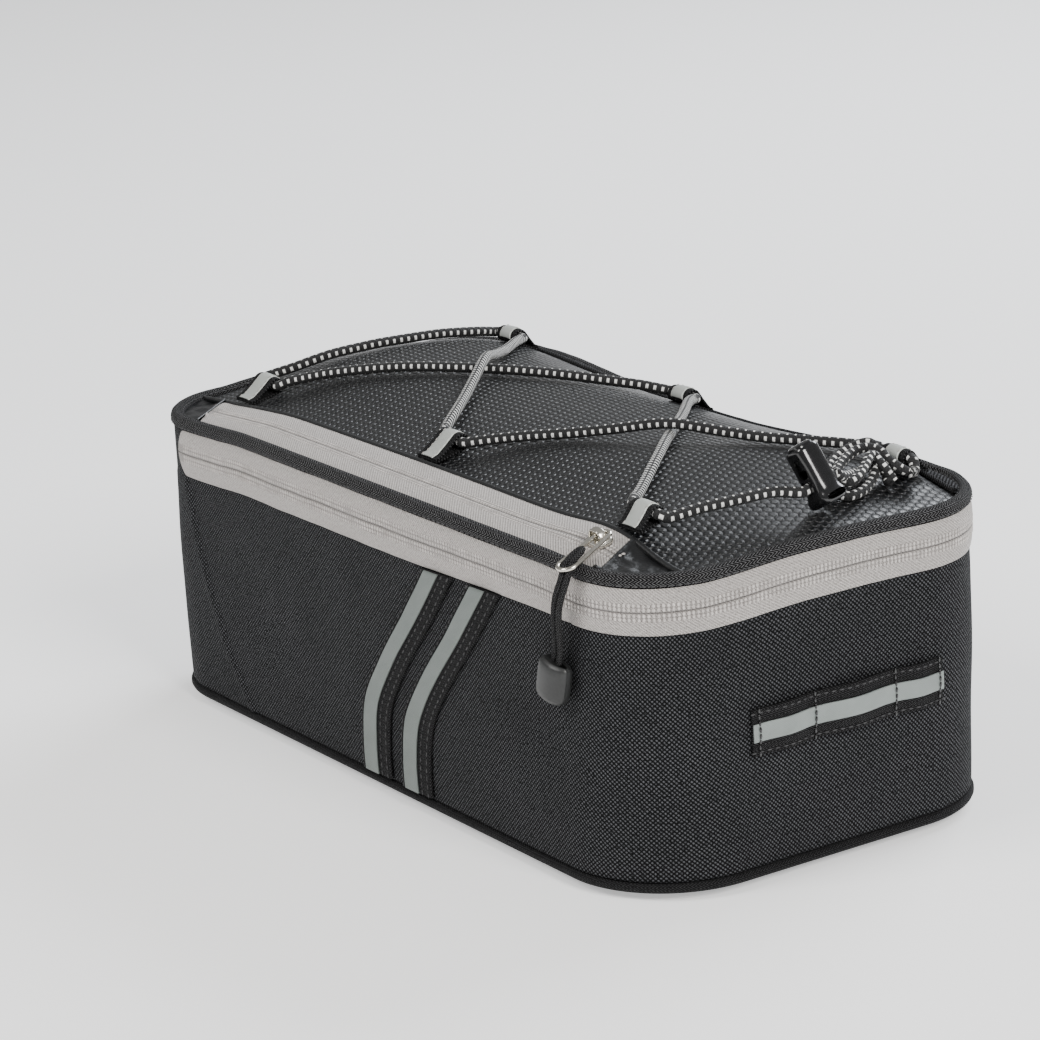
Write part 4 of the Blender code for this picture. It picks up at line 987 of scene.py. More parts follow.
def makeLid():
    # dimpled panel
    rows = 90
    y = np.linspace(seamNear + 0.0004, seamFar - 0.0004, rows)
    low, high = lidEndX(y, lidInset - 0.0006, False), lidEndX(y, lidInset - 0.0006, True)
    share = np.linspace(0, 1, 240)
    x = low[:, None] + (high - low)[:, None] * share[None, :]
    yy = np.repeat(y[:, None], len(share), axis=1)
    soft = noiseAt(x / 0.06, yy / 0.05, 4.2)
    fromEnd = np.minimum(x - low[:, None], high[:, None] - x)
    sink = seamSink(yy, seamNear) + seamSink(yy, seamFar) - 0.0006 * np.exp(-(fromEnd / 0.0030) ** 2)
    grid = lidGrid(x, yy, sink + 0.0004 * soft * np.clip(fromEnd / 0.02, 0, 1))
    sewn("lidPanel", grid, "dimpled", x, yy, (0, 0, 1), lid["thickness"], "lid_panel")

    # plain border on the far side
    seam = seamFar + 0.0006
    share = np.linspace(0, 1, 150)
    ends = [lidEndX(np.array(seam), lidInset - 0.0004, rearward) for rearward in (False, True)]
    x = ends[0] + (ends[1] - ends[0]) * share
    _, toFront, toRear, toSide, radius = edges(rimHeight, lidInset - 0.0004)
    pastFront = np.clip((radius - toFront) - x, 0, radius)
    pastRear = np.clip(x - (toRear - radius), 0, radius)
    outer = toSide - radius + np.sqrt(np.maximum(0, radius ** 2 - np.maximum(pastFront, pastRear) ** 2))
    outer = np.where((pastFront > 0) | (pastRear > 0), outer, lidSideY(x, lidInset - 0.0004, True))
    outer = np.maximum(outer, seam + 0.0001)
    across = np.linspace(0, 1, 12)
    yy = seam + (outer - seam)[None, :] * across[:, None]
    xx = np.repeat(x[None, :], len(across), axis=0)
    grid = lidGrid(xx, yy, 0.0002 + 0.0008 * np.sin(math.pi * across)[:, None] + 0 * xx)
    sewn("farBorder", grid, "cloth", yy, xx, (0, 0, 1), lid["thickness"], "lid_border_far")

    # glossy patches at the two ends of the pocket zip
    for label, sign, rearward in (("Front", -1, False), ("Rear", 1, True)):
        start = sign * (length / 2 - form["pocketEnd"]) - sign * 0.0015
        _, _, _, toSide, radius = edges(rimHeight, lidInset - 0.0004)
        y = np.linspace(-toSide + 0.0001, seamNear - 0.0005, 40)
        limit = lidEndX(y, lidInset - 0.0004, rearward)
        share = np.linspace(0, 1, 46)
        part = np.clip((y + toSide) / (seamNear + toSide), 0, 1)[:, None]
        start = start + sign * blend(*(rearReach if rearward else frontReach), part)
        x = start + (limit[:, None] - start) * share[None, :]
        yy = np.repeat(y[:, None], len(share), axis=1)
        folds = noiseAt(x / 0.011, yy / 0.007, 7.0 * sign) + 0.5 * noiseAt(x / 0.005, yy / 0.0035, 2.0 * sign)
        fromStart = np.abs(x - start)
        edge = 0.0019 * np.exp(-((fromStart - 0.0008) / 0.0016) ** 2)
        inner = np.clip(fromStart / 0.006, 0, 1)
        lift = -0.0001 + edge + 0.0009 * folds * inner - 0.0004 * inner
        sewn("pocketCorner" + label, lidGrid(x, yy, lift), "gloss", x, yy, (0, 0, 1), lid["patchThickness"],
             "pocket_corner_" + label.lower())

    # thin rolled seams along the lid
    for name, y, node in (("nearSeam", seamNear, "near_piping"), ("farSeam", seamFar, "far_piping")):
        places = np.linspace(lidEndX(y, lidInset, False) + 0.0012, lidEndX(y, lidInset, True) - 0.0012, 200)
        run = lidGrid(places, y + 0 * places, 0 * places)
        look = looks["gloss"] if name == "nearSeam" else looks["webbing"]
        roll = sweepPiece(name, run, roundSection(lid["seamRadius"], 10), look)
        settle(roll, nodes=(node,))
    print("lid made")


makeLid()


# webbing loops for the cord: x, y and height over the lid of the eye that the cord goes through
loops = {"width": 0.0130, "thickness": 0.0008, "eye": 0.0024, "lift": 0.0006, "tapeWidth": 0.0074,
         "tapeThickness": 0.0003, "stitch": (0.0013, 0.00042, 0.00036), "stitchSpacing": 0.0021}
nearEyes = ((-0.1345, -0.0430, 0.0047), (0.0015, -0.0430, 0.0040), (0.1310, -0.0468, 0.0056))
farEyes = ((-0.1110, 0.0580, 0.0038), (0.0085, 0.0575, 0.0038), (0.1380, 0.0580, 0.0056))


def loopCourse(eye, seam, inward, raised):
    # (y, z) of the folded webbing from the seam under the cord, round the eye and back over it
    x, eyeY, lift = eye
    start = seam + inward * 0.0016
    side = np.linspace(x - loops["width"] / 2, x + loops["width"] / 2, 7)
    foot = float(np.max(lidZ(side, start))) + loops["lift"]
    middle = float(lidZ(x, eyeY)) + lift
    lean = math.atan2(middle - foot, abs(eyeY - start))
    radius = loops["eye"] + loops["thickness"] / 2 + raised
    angles = np.radians(np.linspace(-100, 100, 23)) + lean
    tip = [(eyeY + inward * radius * math.cos(a), middle + radius * math.sin(a)) for a in angles]
    low, high = foot + 0.0002, foot + 1.3 * loops["thickness"] + raised
    course = [(start, low), (blend(start, tip[0][0], 0.35), blend(low, tip[0][1], 0.30))]
    course += tip
    course += [(blend(tip[-1][0], start, 0.40), blend(tip[-1][1], high, 0.50)),
               (blend(tip[-1][0], start, 0.75), blend(tip[-1][1], high, 0.88)), (start, high)]
    return np.array(course)


def makeLoops():
    rows = []
    for row, eyes, seam, inward in (("near", nearEyes, seamNear, 1), ("far", farEyes, seamFar, -1)):
        for label, eye in zip(("front", "middle", "rear"), eyes):
            name = row + label.capitalize() + "Loop"
            for kind, wide, raised, look, slot in (
                ("", loops["width"], 0.0, "webbing", "black_webbing"),
                ("Tape", loops["tapeWidth"], loops["thickness"] / 2 + 0.00020, "loopTape", "reflective_tape"),
            ):
                line = loopCourse(eye, seam, inward, raised)
                if raised:
                    line = line[8:]
                run = walkedAlong(line)
                fine = np.linspace(0, run[-1], 60)
                y, z = np.interp(fine, run, line[:, 0]), np.interp(fine, run, line[:, 1])
                side = np.linspace(-0.5, 0.5, 11)
                x = eye[0] + side[None, :] * wide + 0 * fine[:, None]
                twist = 0.00035 * math.sin(eye[0] * 900) * side[None, :] * np.sin(math.pi * fine / run[-1])[:, None]
                sag = -0.00022 * (2 * side) ** 4 + 0 * fine[:, None]
                grid = np.stack((x, y[:, None] + 0 * x, z[:, None] + twist + sag), axis=-1)
                sheet = gridPiece(name + kind, grid, looks[look], fine, side * wide)
                thicken(sheet, loops["tapeThickness" if raised else "thickness"], 0.0, 0.0 if raised else 0.0002)
                settle(sheet, nodes=() if raised else ("cord_loop_" + row + "_" + label,))
                if raised:
                    for edge in (-0.44, 0.44):
                        edgeRun = np.stack((0 * y + eye[0] + edge * wide, y, z + 0.00016), axis=-1)
                        outs = np.stack((0 * y, -np.gradient(z), np.gradient(y) + 1e-9), axis=-1)
                        outs = outs / np.linalg.norm(outs, axis=1)[:, None] * (1 if outs[-5][2] > 0 else -1)
                        rows.append(rowOnRun(edgeRun, outs, loops["stitchSpacing"], 0.0006, 0.0006))
    stitched("loopStitches", rows, "greyThread", loops["stitch"])


makeLoops()
print("loops made")


# elastic cord: its spans between the loops as x, y and height of its middle over the lid, in millimetres
cord = {"diameter": 0.0040, "tied": 0.0037, "throughLock": (0.0078, 0.0030), "pastLoop": 0.0012, "fade": 0.004}
low, high = 2.7, 6.9     # on the lid, and over another span
cordSpans = (
    ((151.8, -6.9, 9.8), (149.4, -14.7, 9.2), (146.9, -22.6, 8.4),
     (143.7, -32.8, 7.8), (142.0, -40.5, 7.2), (140.7, -44.7, 6.6)),
    ((119.0, -44.0, 4.8), (113.0, -37.5, 3.6), (104.0, -28.0, low), (92.0, -14.9, low),
     (75.0, 2.0, low), (58.5, 17.6, low), (41.0, 33.8, low), (27.0, 46.0, 3.1),
     (19.5, 53.5, 3.5)),
    ((-3.0, 54.5, 3.6), (-9.5, 49.0, 3.3), (-20.0, 40.5, low), (-35.2, 29.0, low),
     (-51.9, 16.1, low), (-76.4, -3.0, low), (-93.0, -15.8, low), (-109.6, -28.7, 3.0),
     (-118.5, -36.0, 3.8), (-123.8, -40.8, 4.4)),
    ((-144.3, -40.5, 4.8), (-142.0, -35.5, 4.5), (-137.5, -29.0, 3.9),
     (-134.5, -21.9, 3.6), (-132.5, -13.8, 3.2), (-130.5, -2.8, 2.8),
     (-128.0, 7.2, low), (-124.5, 27.9, low), (-123.0, 38.3, 2.8), (-122.2, 48.0, 3.1),
     (-122.4, 53.8, 3.5), (-121.3, 57.4, 3.8)),
    ((-99.8, 55.0, 3.6), (-94.0, 48.5, 3.1), (-81.8, 35.5, low), (-70.0, 23.2, 4.4),
     (-58.2, 11.2, high), (-45.5, -1.8, 4.5), (-32.8, -14.8, low), (-21.9, -25.8, 3.0),
     (-14.0, -34.5, 3.6), (-8.5, -40.5, 3.9)),
    ((12.8, -40.5, 4.0), (19.0, -34.5, 3.4), (27.6, -27.0, low), (40.0, -16.9, low),
     (53.0, -6.3, 4.2), (69.5, 7.2, high), (86.0, 20.7, 4.2), (97.5, 30.2, low),
     (108.0, 38.8, low), (118.0, 47.0, 3.2), (124.0, 52.2, 4.0), (128.2, 56.2, 5.0)),
    ((148.6, 56.6, 5.2), (150.0, 52.8, 5.6)),
)
laced = ((nearEyes[2], -1), (farEyes[1], -1), (nearEyes[0], -1), (farEyes[0], 1), (nearEyes[1], 1), (farEyes[2], 1))
chevronSpans = (1, 4, 6)     # spans in which the braid shows its chevrons

lock = {"fromRear": 0.0110, "across": 0.0110, "lift": 0.0052, "lean": (-0.447, -0.220, 0.870), "wall": 0.0014,
        "footHeight": 0.0042, "passageOffset": 0.0012, "travel": 0.0030}
lockFootX = length / 2 - lock["fromRear"]
lockFoot = np.array((lockFootX, lock["across"], float(lidZ(lockFootX, lock["across"])) + lock["lift"]))
lean = unit(lock["lean"])
through = unit(np.array((0, 1, 0)) - lean * lean[1])
lockSideways = -np.cross(lean, through)
passage = cord["diameter"] + 4 * form["clearance"]
passageAt = lock["footHeight"] + lock["wall"] + passage / 2
passageMiddle = lockFoot + lean * passageAt - lockSideways * lock["passageOffset"]


def overLid(route):
    route = np.array(route) / 1000
    return [np.array((x, y, float(lidZ(x, y)) + lift)) for x, y, lift in route]


def makeCord():
    outer, inner = cord["throughLock"]
    route = [passageMiddle + through * reach for reach in (outer, inner, -inner, -outer)]
    marks = []
    for index, span in enumerate(cordSpans):
        first = len(route)
        route += overLid(span)
        marks.append((first, len(route) - 1))
        if index < len(laced):
            (x, y, lift), way = laced[index]
            reach = way * (loops["width"] / 2 + cord["pastLoop"])
            route += [np.array((x + reach * k, y, float(lidZ(x, y)) + lift)) for k in (-1, 0, 1)]
    run = smoothRoute(route, 0.0016)
    thing = sweepPiece("elasticCord", run, roundSection(cord["diameter"] / 2, 12), looks["braid"])
    # where the chevrons show
    walked = walkedAlong(run)
    near = [int(np.argmin(np.linalg.norm(run - knot, axis=1))) for knot in route]
    shown = np.zeros(len(run))
    for index in chevronSpans:
        a, b = (walked[near[k]] for k in marks[index])
        fadeIn, fadeOut = (np.clip(run / cord["fade"], 0, 1) for run in (walked - a, b - walked))
        shown = np.maximum(shown, fadeIn * fadeOut)
    values = np.repeat(shown, 12).astype(np.float32)
    thing.data.attributes.new("chevron", "FLOAT", "POINT").data.foreach_set("value", values)
    settle(thing, nodes=("bungee_cord",))


makeCord()
print("cord made")


# straps on the walls
straps = {"webbingWidth": 0.0205, "webbingOffset": 0.0024, "webbingThickness": 0.0013, "tapeWidth": 0.0088,
          "tapeThickness": 0.0005, "stitch": (0.0021, 0.0006, 0.0004), "stitchSpacing": 0.0032,
          "stitchRows": (-0.0062, 0.0068, 0.0108)}
tapeCourse = ((0.00, 0.00), (0.18, 0.02), (0.36, 0.10), (0.55, 0.34), (0.78, 0.69), (1.00, 1.00))
sideTapes = (("front", 0.0505, -0.0025), ("rear", 0.0800, 0.0255))


def tapeMiddle(top, foot, height):
    table = [(2 * share - 1, reach) for share, reach in tapeCourse]
    return foot + (top - foot) * profile(table, 2 * np.asarray(height) / wallHeight - 1)


def makeSideStraps():
    heights = np.linspace(0.0050, wallHeight - 0.0002, 80)
    thick, thin = straps["webbingThickness"], straps["tapeThickness"]
    side = np.sin(np.linspace(-math.pi / 2, math.pi / 2, 15)) / 2
    rows = []
    for label, top, foot in sideTapes:
        middle = tapeMiddle(top, foot, heights)
        slope = np.gradient(middle, heights)
        walked = np.concatenate(([0], np.cumsum(np.hypot(1, slope[1:]) * np.diff(heights))))
        for kind, wide, proud, thickness, shift, ruck, look, slot in (
            ("webbing", straps["webbingWidth"], 0.0002 + thick, thick, straps["webbingOffset"], 0.0007,
             "webbing", "black_webbing"),
            ("reflector", straps["tapeWidth"], 0.0004 + thick + thin, thin, 0.0, 0.0, "sideTape", "reflective_tape"),
        ):
            t = tAlong(0, heights[:, None], middle[:, None] + side[None, :] * wide + shift)
            soft = 0.00030 * wander(runAt(t), heights[:, None], 0.018, 13.0)
            grid = skin(t, heights[:, None], proud + soft - ruck * np.abs(2 * side[None, :]) ** 12)
            sewn(kind + label.capitalize(), grid, look, walked, side * wide, (0, -1, 0), thickness,
                 "side_" + kind + "_" + label)
        for offset in straps["stitchRows"]:
            t = tAlong(0, heights, middle + offset)
            soft = 0.00030 * wander(runAt(t), heights, 0.018, 13.0)
            run = skin(t, heights, 0.0004 + thick + soft)
            rows.append(rowOnRun(run, wallOut(t, heights), straps["stitchSpacing"], 0.001, 0.001))
    stitched("sideStitches", rows, "thread", straps["stitch"])


light = {"tall": 0.0170, "tapeTall": 0.0066, "z": 0.0545, "near": -0.0360, "far": 0.0490, "slack": 0.0022,
         "seams": (0.03, 0.31, 0.73, 0.97), "edgeRows": (-0.0072, 0.0072), "stitch": (0.0019, 0.0006, 0.0005),
         "seamStitch": (0.0021, 0.0009, 0.0008),
         "webbing": (0.0016, 0.0013), "tape": (0.0022, 0.0005)}     # how far each stands out, and its thickness


def lightSlack(share):
    out = 0 * share
    for a, b in zip(light["seams"], light["seams"][1:]):
        inside = (share > a) & (share < b)
        t = np.clip((share - a) / (b - a), 0, 1)
        out = np.where(inside, light["slack"] * np.sin(math.pi * t) ** 2 * min(1.0, (b - a) / 0.4), out)
    return out


def makeLightStrap():
    share = np.linspace(0, 1, 130)
    y = blend(light["near"], light["far"], share)
    rows, crossRows = [], []
    for name, tall, (proud, thickness), look, slot, node in (
        ("lampStrap", light["tall"], light["webbing"], "webbing", "black_webbing", "light_strap"),
        ("lampStrapTape", light["tapeTall"], light["tape"], "reflective", "reflective_tape", "light_strap_reflector"),
    ):
        rise = np.linspace(-0.5, 0.5, 11)
        z = light["z"] + rise[None, :] * tall + 0 * share[:, None]
        t = tAlong(2, z, y[:, None] + 0 * z)
        wave = 0.00025 * wander(y[:, None] + 0.3, z, 0.012, 17.0)
        grid = skin(t, z, proud + lightSlack(share)[:, None] + wave)
        sewn(name, grid, look, y - y[0], rise * tall, (1, 0, 0), thickness, node)
    for place in light["seams"]:
        z = light["z"] + np.linspace(-0.0080, 0.0080, 20)
        t = tAlong(2, z, blend(light["near"], light["far"], place))
        run = skin(t, z, np.where(np.abs(z - light["z"]) < light["tapeTall"] / 2, 0.0026, 0.0019))
        crossRows.append(rowOnRun(run, wallOut(t, z), 0.0019))
    for offset in light["edgeRows"]:
        z = light["z"] + offset + 0 * share
        t = tAlong(2, z, y)
        run = skin(t, z, 0.0018 + lightSlack(share))
        rows.append(rowOnRun(run, wallOut(t, z), 0.0030))
    stitched("lampStrapStitches", rows, "thread", light["stitch"])
    stitched("lampStrapSeams", crossRows, "lock", light["seamStitch"])


baseStraps = {"width": 0.0250, "length": 0.1180, "thickness": 0.0024, "places": (-0.0750, 0.1100), "endRound": 0.006,
              "under": 0.0002, "rounding": 0.0004}


def makeBaseStraps():
    # the closed hook-and-loop straps lie flat under the base: two layers with rounded ends
    half, wide, r = baseStraps["length"] / 2, baseStraps["width"], baseStraps["endRound"]
    for label, place in zip(("front", "rear"), baseStraps["places"]):
        y = np.linspace(-half, half, 60)
        side = np.sin(np.linspace(-math.pi / 2, math.pi / 2, 9)) / 2
        past = np.clip(np.abs(y) - (half - r), 0, r)
        reach = wide - 2 * (r - np.sqrt(np.maximum(0, r ** 2 - past ** 2)))
        x = place + side[None, :] * reach[:, None]
        z = -baseStraps["under"] - baseStraps["thickness"]
        grid = np.stack(np.broadcast_arrays(x, y[:, None], z), axis=-1)
        sewn("baseStrap" + label.capitalize(), grid, "webbing", y, x - place, (0, 0, -1),
             baseStraps["thickness"] - 0.0002, "base_strap_" + label, baseStraps["rounding"])


makeSideStraps()
makeLightStrap()
makeBaseStraps()
print("straps made")


# small hard parts made of rings of points, and the two cords that go with them
def softOblong(halfWide, halfDeep, power, count):
    angles = np.linspace(0, 2 * math.pi, count, endpoint=False)
    c, s = np.cos(angles), np.sin(angles)
    return np.stack((halfWide * np.sign(c) * np.abs(c) ** (2 / power),
                     halfDeep * np.sign(s) * np.abs(s) ** (2 / power)), axis=1)


def stacked(name, place, levels, look, power=4.0, count=56, facet=0.0):
    # place is (origin, wide way, deep way, up way); levels are (height, half width, half depth) in mm
    origin, wideWay, deepWay, upWay = (np.array(p, float) for p in place)
    rings = []
    for height, halfWide, halfDeep in levels:
        flat = softOblong(halfWide, halfDeep, power, count) / 1000
        outer = (flat[:, 1] > 0) & (flat[:, 0] > 0.12 * halfWide / 1000)
        flat[:, 1] -= np.where(outer, facet * (flat[:, 0] - 0.12 * halfWide / 1000), 0.0)
        rings.append(origin + wideWay * flat[:, :1] + deepWay * flat[:, 1:] + upWay * height / 1000)
    piece = gridPiece(name, np.array(rings), looks[look], np.arange(len(rings)) * 0.001,
                      np.arange(count + 1) * 0.001, False, True, True)
    piece.data.set_sharp_from_angle(angle=math.radians(38))
    return turnOut(piece)


def carved(thing, cutters):
    for cutter in cutters:
        step = thing.modifiers.new("cut", "BOOLEAN")
        step.operation, step.solver, step.object = "DIFFERENCE", "EXACT", cutter
    made = bpy.data.meshes.new_from_object(thing.evaluated_get(bpy.context.evaluated_depsgraph_get()))
    thing.modifiers.clear()
    thing.data = made
    for cutter in cutters:
        bpy.data.objects.remove(cutter, do_unlink=True)
    made.shade_smooth()
    made.set_sharp_from_angle(angle=math.radians(38))
    return thing


def makeLock():
    place = (lockFoot, lockSideways, through, lean)
    floor = (passageAt - passage / 2) * 1000 + 1.0
    body = stacked("lockBody", place, (
        (0.1, 5.2, 4.5), (0.6, 6.4, 5.4), (1.6, 6.9, 5.9), (3.2, 6.9, 5.9), (4.4, 6.1, 5.5), (5.8, 5.6, 5.2),
        (9.0, 5.5, 5.2), (15.0, 5.5, 5.2), (20.6, 5.5, 5.2), (21.3, 5.35, 5.05), (21.8, 5.0, 4.7)), "lock", 3.2)
    bore = stacked("lockBore", place, ((floor, 4.6, 4.3), (30.0, 4.6, 4.3)), "lock", 3.4)
    run = np.array([passageMiddle + through * reach for reach in np.linspace(-0.012, 0.012, 5)])
    way = sweepPiece("lockWay", run, roundSection(passage / 2, 20), looks["lock"], upward=lean)
    window = stacked("lockWindow", (lockFoot + lean * 0.0150 + lockSideways * 0.0008, lockSideways, lean, -through),
                     ((0.5, 2.2, 3.6), (9.0, 2.2, 3.6)), "lock", 3.4, 32)
    eye = stacked("lockEye", (lockFoot + lean * 0.0023, through, lean, lockSideways),
                  ((-12.0, 4.2, 1.25), (12.0, 4.2, 1.25)), "lock", 2.6, 40)
    body = carved(body, (bore, way, window, eye))
    settle(body, nodes=("cord_lock_body",))
    foot = (passageAt + passage / 2 + form["clearance"] + lock["travel"]) * 1000
    button = stacked("lockButton", place, (
        (foot, 4.0, 3.7), (foot + 0.4, 4.35, 4.05), (21.9, 4.35, 4.05), (22.7, 4.15, 3.85), (23.2, 3.5, 3.2),
        (23.45, 2.2, 2.0)), "lock", 3.4)
    settle(button, buttonBody, nodes=("cord_lock_button",))


def makeTiedEnd():
    # the tied end of the elastic cord: two cords that loop back and leave free ends
    first = overLid(((150.0, 52.8, 5.6), (147.8, 50.3, 6.6), (144.0, 48.5, 7.6), (140.0, 48.0, 8.6),
                (136.6, 44.0, 8.4), (136.4, 37.7, 7.0), (140.2, 30.1, 6.6), (145.0, 24.6, 6.4),
                (149.6, 23.2, 6.6), (151.8, 25.6, 7.0), (150.6, 30.0, 7.8), (147.4, 35.3, 8.4),
                (144.0, 40.0, 9.2), (143.0, 43.0, 9.2), (146.2, 43.9, 7.4), (148.2, 45.3, 5.0),
                (149.7, 46.3, 3.0)))
    second = [passageMiddle + through * 0.0092]
    second += overLid(((152.0, 21.6, 9.8), (146.2, 30.0, 6.0), (141.5, 38.4, 3.4), (139.0, 45.0, 4.0),
                  (137.6, 48.8, 7.0), (135.0, 47.0, 9.2), (131.3, 40.9, 6.0), (132.6, 32.9, 3.8),
                  (138.1, 25.6, 3.0), (144.4, 20.9, 2.6), (149.1, 20.2, 2.4), (152.6, 24.0, 2.4),
                  (151.4, 31.0, 2.6), (147.6, 38.0, 3.0), (144.0, 44.0, 5.2), (145.2, 46.4, 3.8),
                  (147.8, 45.2, 3.0), (149.6, 44.0, 2.6)))
    for name, route, nodes in (("tiedCord", first, ("cord_bundle",)), ("tiedCordTwo", second, ())):
        run = smoothRoute(route, 0.0010)
        thing = sweepPiece(name, run, roundSection(cord["tied"] / 2, 12), looks["tiedBraid"])
        settle(thing, nodes=nodes)
        print(name, "is", round(1000 * runLength(run)), "mm long")


pull = {"x": 0.1300, "arch": 2.8, "capTop": 0.0032, "ringLength": 0.0272, "ringWidth": 0.0092, "ringWire": 0.0016,
        "gripDepth": 0.0078, "gripLength": 0.0152, "hang": 0.0358, "gap": 0.0016, "shift": (0.0010, -0.0028),
        "cord": 0.0022, "strandGap": 0.00155}


def makePull():
    y = seamNear - form["pocketTapeWidth"] * 0.46
    x = pull["x"]
    tilt = float(lidZ(x, y + 0.004) - lidZ(x, y - 0.004))
    along = np.array((1.0, 0.0, 0.0))
    across = unit((0, 0.008, tilt))
    upward = np.cross(along, across)
    ground = np.array((x, y, float(lidZ(x, y))))
    place = (ground, along, across, upward)
    cap = stacked("sliderCap", place, ((0.6, 4.4, 3.4), (0.9, 4.9, 3.85), (1.6, 5.0, 3.9), (2.4, 4.9, 3.8),
                                       (2.9, 4.5, 3.4), (3.2, 3.8, 2.8)), "nickel", 3.2, 40)
    settle(cap, nodes=("pocket_slider",))
    top = pull["capTop"]
    reach = np.linspace(-1, 1, 25)
    arch = ground + along * (reach[:, None] * 0.0038) + upward * (top - 0.0006 + 0.0034 * (1 - reach ** 4))[:, None]
    flat = softOblong(1.5, 0.45, 3.0, 20)[::-1] / 1000
    settle(sweepPiece("sliderArch", arch, flat, looks["nickel"], upward=upward))

    eye = ground + upward * (top + pull["arch"] / 2000) + along * 0.0034
    end = np.array((eye[0] + 0.0055, -(width / 2) - 0.0063, rimHeight - pull["ringWire"] / 2))
    out = unit(end - eye)
    sideways = unit(along - out * out[0])
    over = np.cross(sideways, out)
    over = over * (1 if over[2] > 0 else -1)
    small, large = 0.0026, pull["ringWidth"] / 2 - pull["ringWire"] / 2
    reach = pull["ringLength"] - small - large - pull["ringWire"]
    ring = [eye + small * (out * math.cos(a) + sideways * math.sin(a)) for a in np.radians(np.linspace(90, 270, 15))]
    ring += [eye + out * reach + large * (out * math.cos(a) + sideways * math.sin(a))
             for a in np.radians(np.linspace(-90, 90, 21))]
    wire = roundSection(pull["ringWire"] / 2, 14)
    settle(sweepPiece("pullRing", np.array(ring), wire, looks["nickel"], True, over), nodes=("pull_ring",))
    bow = eye + out * (reach + large)

    # moulded grip, hanging in front of the wall
    spots = []
    for shift, below in zip(pull["shift"], (pull["hang"], pull["hang"] + pull["gripLength"])):
        height = rimHeight - below
        wallY = outline(np.array(tAlong(0, height, x + shift)), np.array(height))[1]
        spots.append(np.array((x + shift, float(wallY) - pull["gap"] - pull["gripDepth"] / 2, height)))
    down = unit(spots[1] - spots[0])
    broad = unit(along - down * down[0])
    outward = np.cross(broad, down)
    outward = outward * (1 if outward[1] < 0 else -1)
    half = pull["gripLength"] * 500
    grip = stacked("pullGrip", ((spots[0] + spots[1]) / 2, broad, outward, down), (
        (-half, 5.6, 2.4), (-half + 0.5, 6.5, 3.2), (-half + 1.5, 6.9, 3.7), (-half + 4, 7.0, 3.9), (0, 7.0, 3.9),
        (half - 4.0, 6.9, 3.9), (half - 2.2, 6.6, 3.8), (half - 1.0, 5.8, 3.4), (half - 0.3, 4.8, 2.7),
        (half, 3.4, 1.8)), "rubber", 3.6, 72, 0.30)
    settle(grip, nodes=("pull_grip",))

    # flat doubled cord through the ring
    head = spots[0] + down * 0.0008
    gap = pull["strandGap"]
    route = []
    for way in (-1, 1):
        leg = [head + broad * way * gap, head + broad * way * gap - down * 0.0060,
               head + (bow - head) * 0.60 + broad * way * gap + np.array((0, -0.0012, 0)),
               bow - over * 0.0022 + sideways * way * 0.0014 + np.array((0, 0, -0.0016)),
               bow - out * 0.0040 + over * 0.0002 + sideways * way * 0.0014,
               bow - out * 0.0095 + over * 0.0012 + sideways * way * 0.0013]
        route += leg if way < 0 else [bow - out * 0.0118 + over * 0.0014] + leg[::-1]
    run = smoothRoute(route, 0.0008)
    section = softOblong(1.28, 0.80, 2.2, 18)[::-1] / 1000
    cordPiece = sweepPiece("pullCord", run, section, looks["flatCord"], upward=outward)
    settle(cordPiece, nodes=("pull_cord",))
    print("pullCord is", round(1000 * runLength(run)), "mm long")


makeLock()
makeTiedEnd()
makePull()
for used in bpy.data.objects["main_slider"].material_slots:
    used.material = looks["nickel"]
print("hardware made")


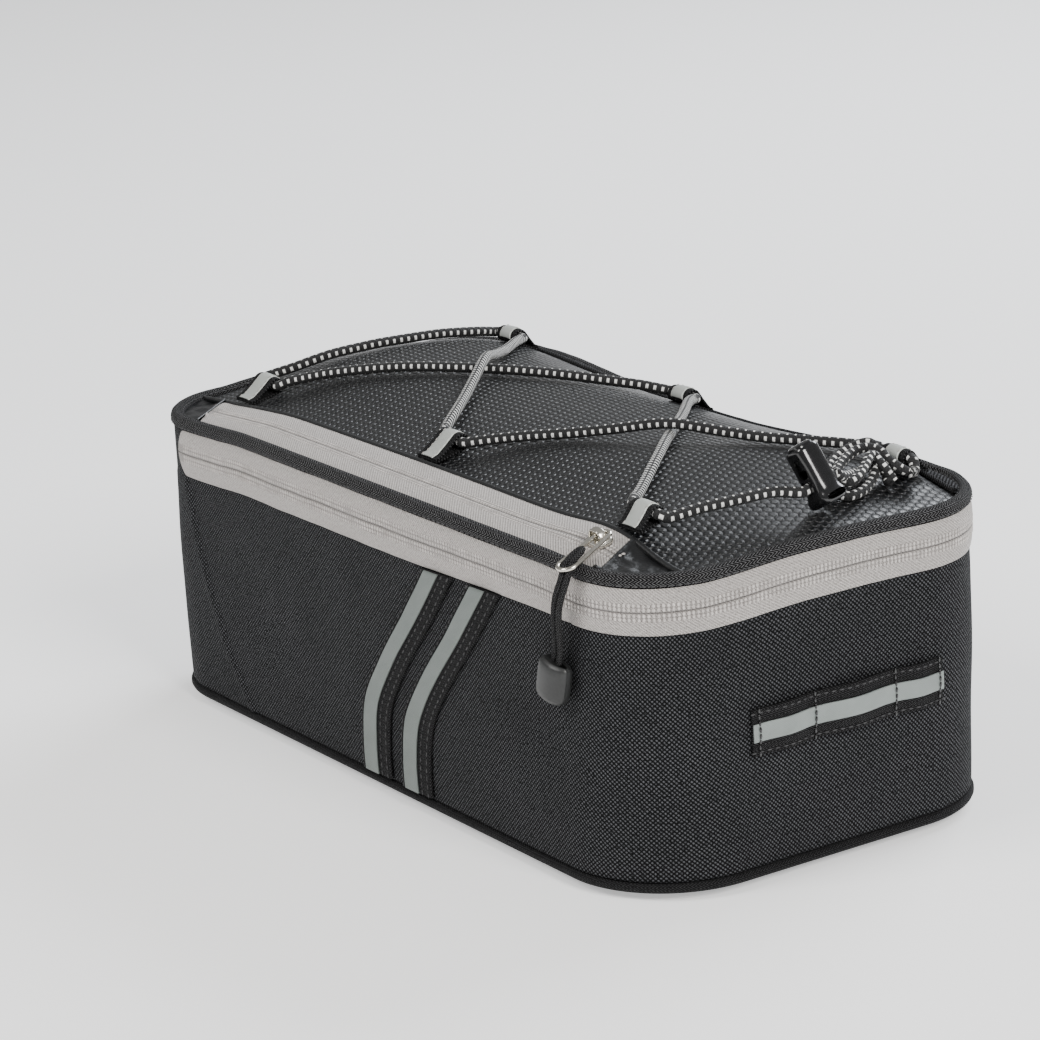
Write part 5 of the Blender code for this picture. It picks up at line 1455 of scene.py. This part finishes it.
# camera, floor and light
lights = (
    ("keyLight", (2.1, -0.1, 1.5), 0.06, (0.9, 0.9), 58.0, (1.0, 0.985, 0.96)),
    ("nearLight", (-0.2, -1.7, 1.6), 0.06, (0.8, 0.8), 30.0, (1.0, 0.985, 0.97)),
    ("rearLight", (-0.5, 1.7, 1.3), 0.10, (1.4, 0.8), 46.0, (0.90, 0.94, 1.0)),
)
view = {"place": (1.2167, -0.7955, 0.5170), "back": (0.8069, -0.5178, 0.2841), "right": (0.5534, 0.8309, -0.0573),
        "up": (-0.2064, 0.2034, 0.9571), "lens": 138.46}


def makeCamera():
    data = bpy.data.cameras.new("camera")
    data.sensor_width = 36.0
    data.lens = view["lens"]
    data.clip_end = 20.0
    camera = bpy.data.objects.new("camera", data)
    turn = Matrix((view["right"], view["up"], view["back"])).transposed()
    camera.matrix_world = Matrix.Translation(Vector(view["place"]) + Vector(seat)) @ turn.to_4x4()
    bpy.context.collection.objects.link(camera)
    bpy.context.scene.camera = camera


def makeLight(name, place, aimHeight, size, power, colour):
    data = bpy.data.lights.new(name, "AREA")
    data.shape = "RECTANGLE"
    data.size, data.size_y = size
    data.energy = power
    data.color = colour
    lamp = bpy.data.objects.new(name, data)
    lamp.location = place
    lamp.rotation_euler = (Vector((0, 0, aimHeight)) - Vector(place)).to_track_quat("-Z", "Y").to_euler()
    bpy.context.collection.objects.link(lamp)


def makeStage():
    paint = Paint("studioFloor", Roughness=0.9, Specular_IOR_Level=0.1, Emission_Color=(1, 1, 1, 1),
                  Emission_Strength=0.50)
    soft = paint.noise(paint.place(), 1.2, 2.0)
    colour = paint.colours(soft, (0.88, 0.88, 0.88), (0.91, 0.91, 0.91))
    paint.wear(Base_Color=colour)
    mesh = bpy.data.meshes.new("floor")
    mesh.from_pydata([(-6, -6, -0.0002), (6, -6, -0.0002), (6, 6, -0.0002), (-6, 6, -0.0002)], [], [(0, 1, 2, 3)])
    mesh.materials.append(paint.material)
    floor = bpy.data.objects.new("floor", mesh)
    bpy.context.collection.objects.link(floor)
    world = bpy.data.worlds.new("studio")
    world.use_nodes = True
    sky = world.node_tree.nodes["Background"].inputs
    sky["Color"].default_value = (1.0, 1.0, 1.0, 1.0)
    sky["Strength"].default_value = 0.36
    bpy.context.scene.world = world
    for one in lights:
        makeLight(*one)


makeCamera()
makeStage()
print("stage made")
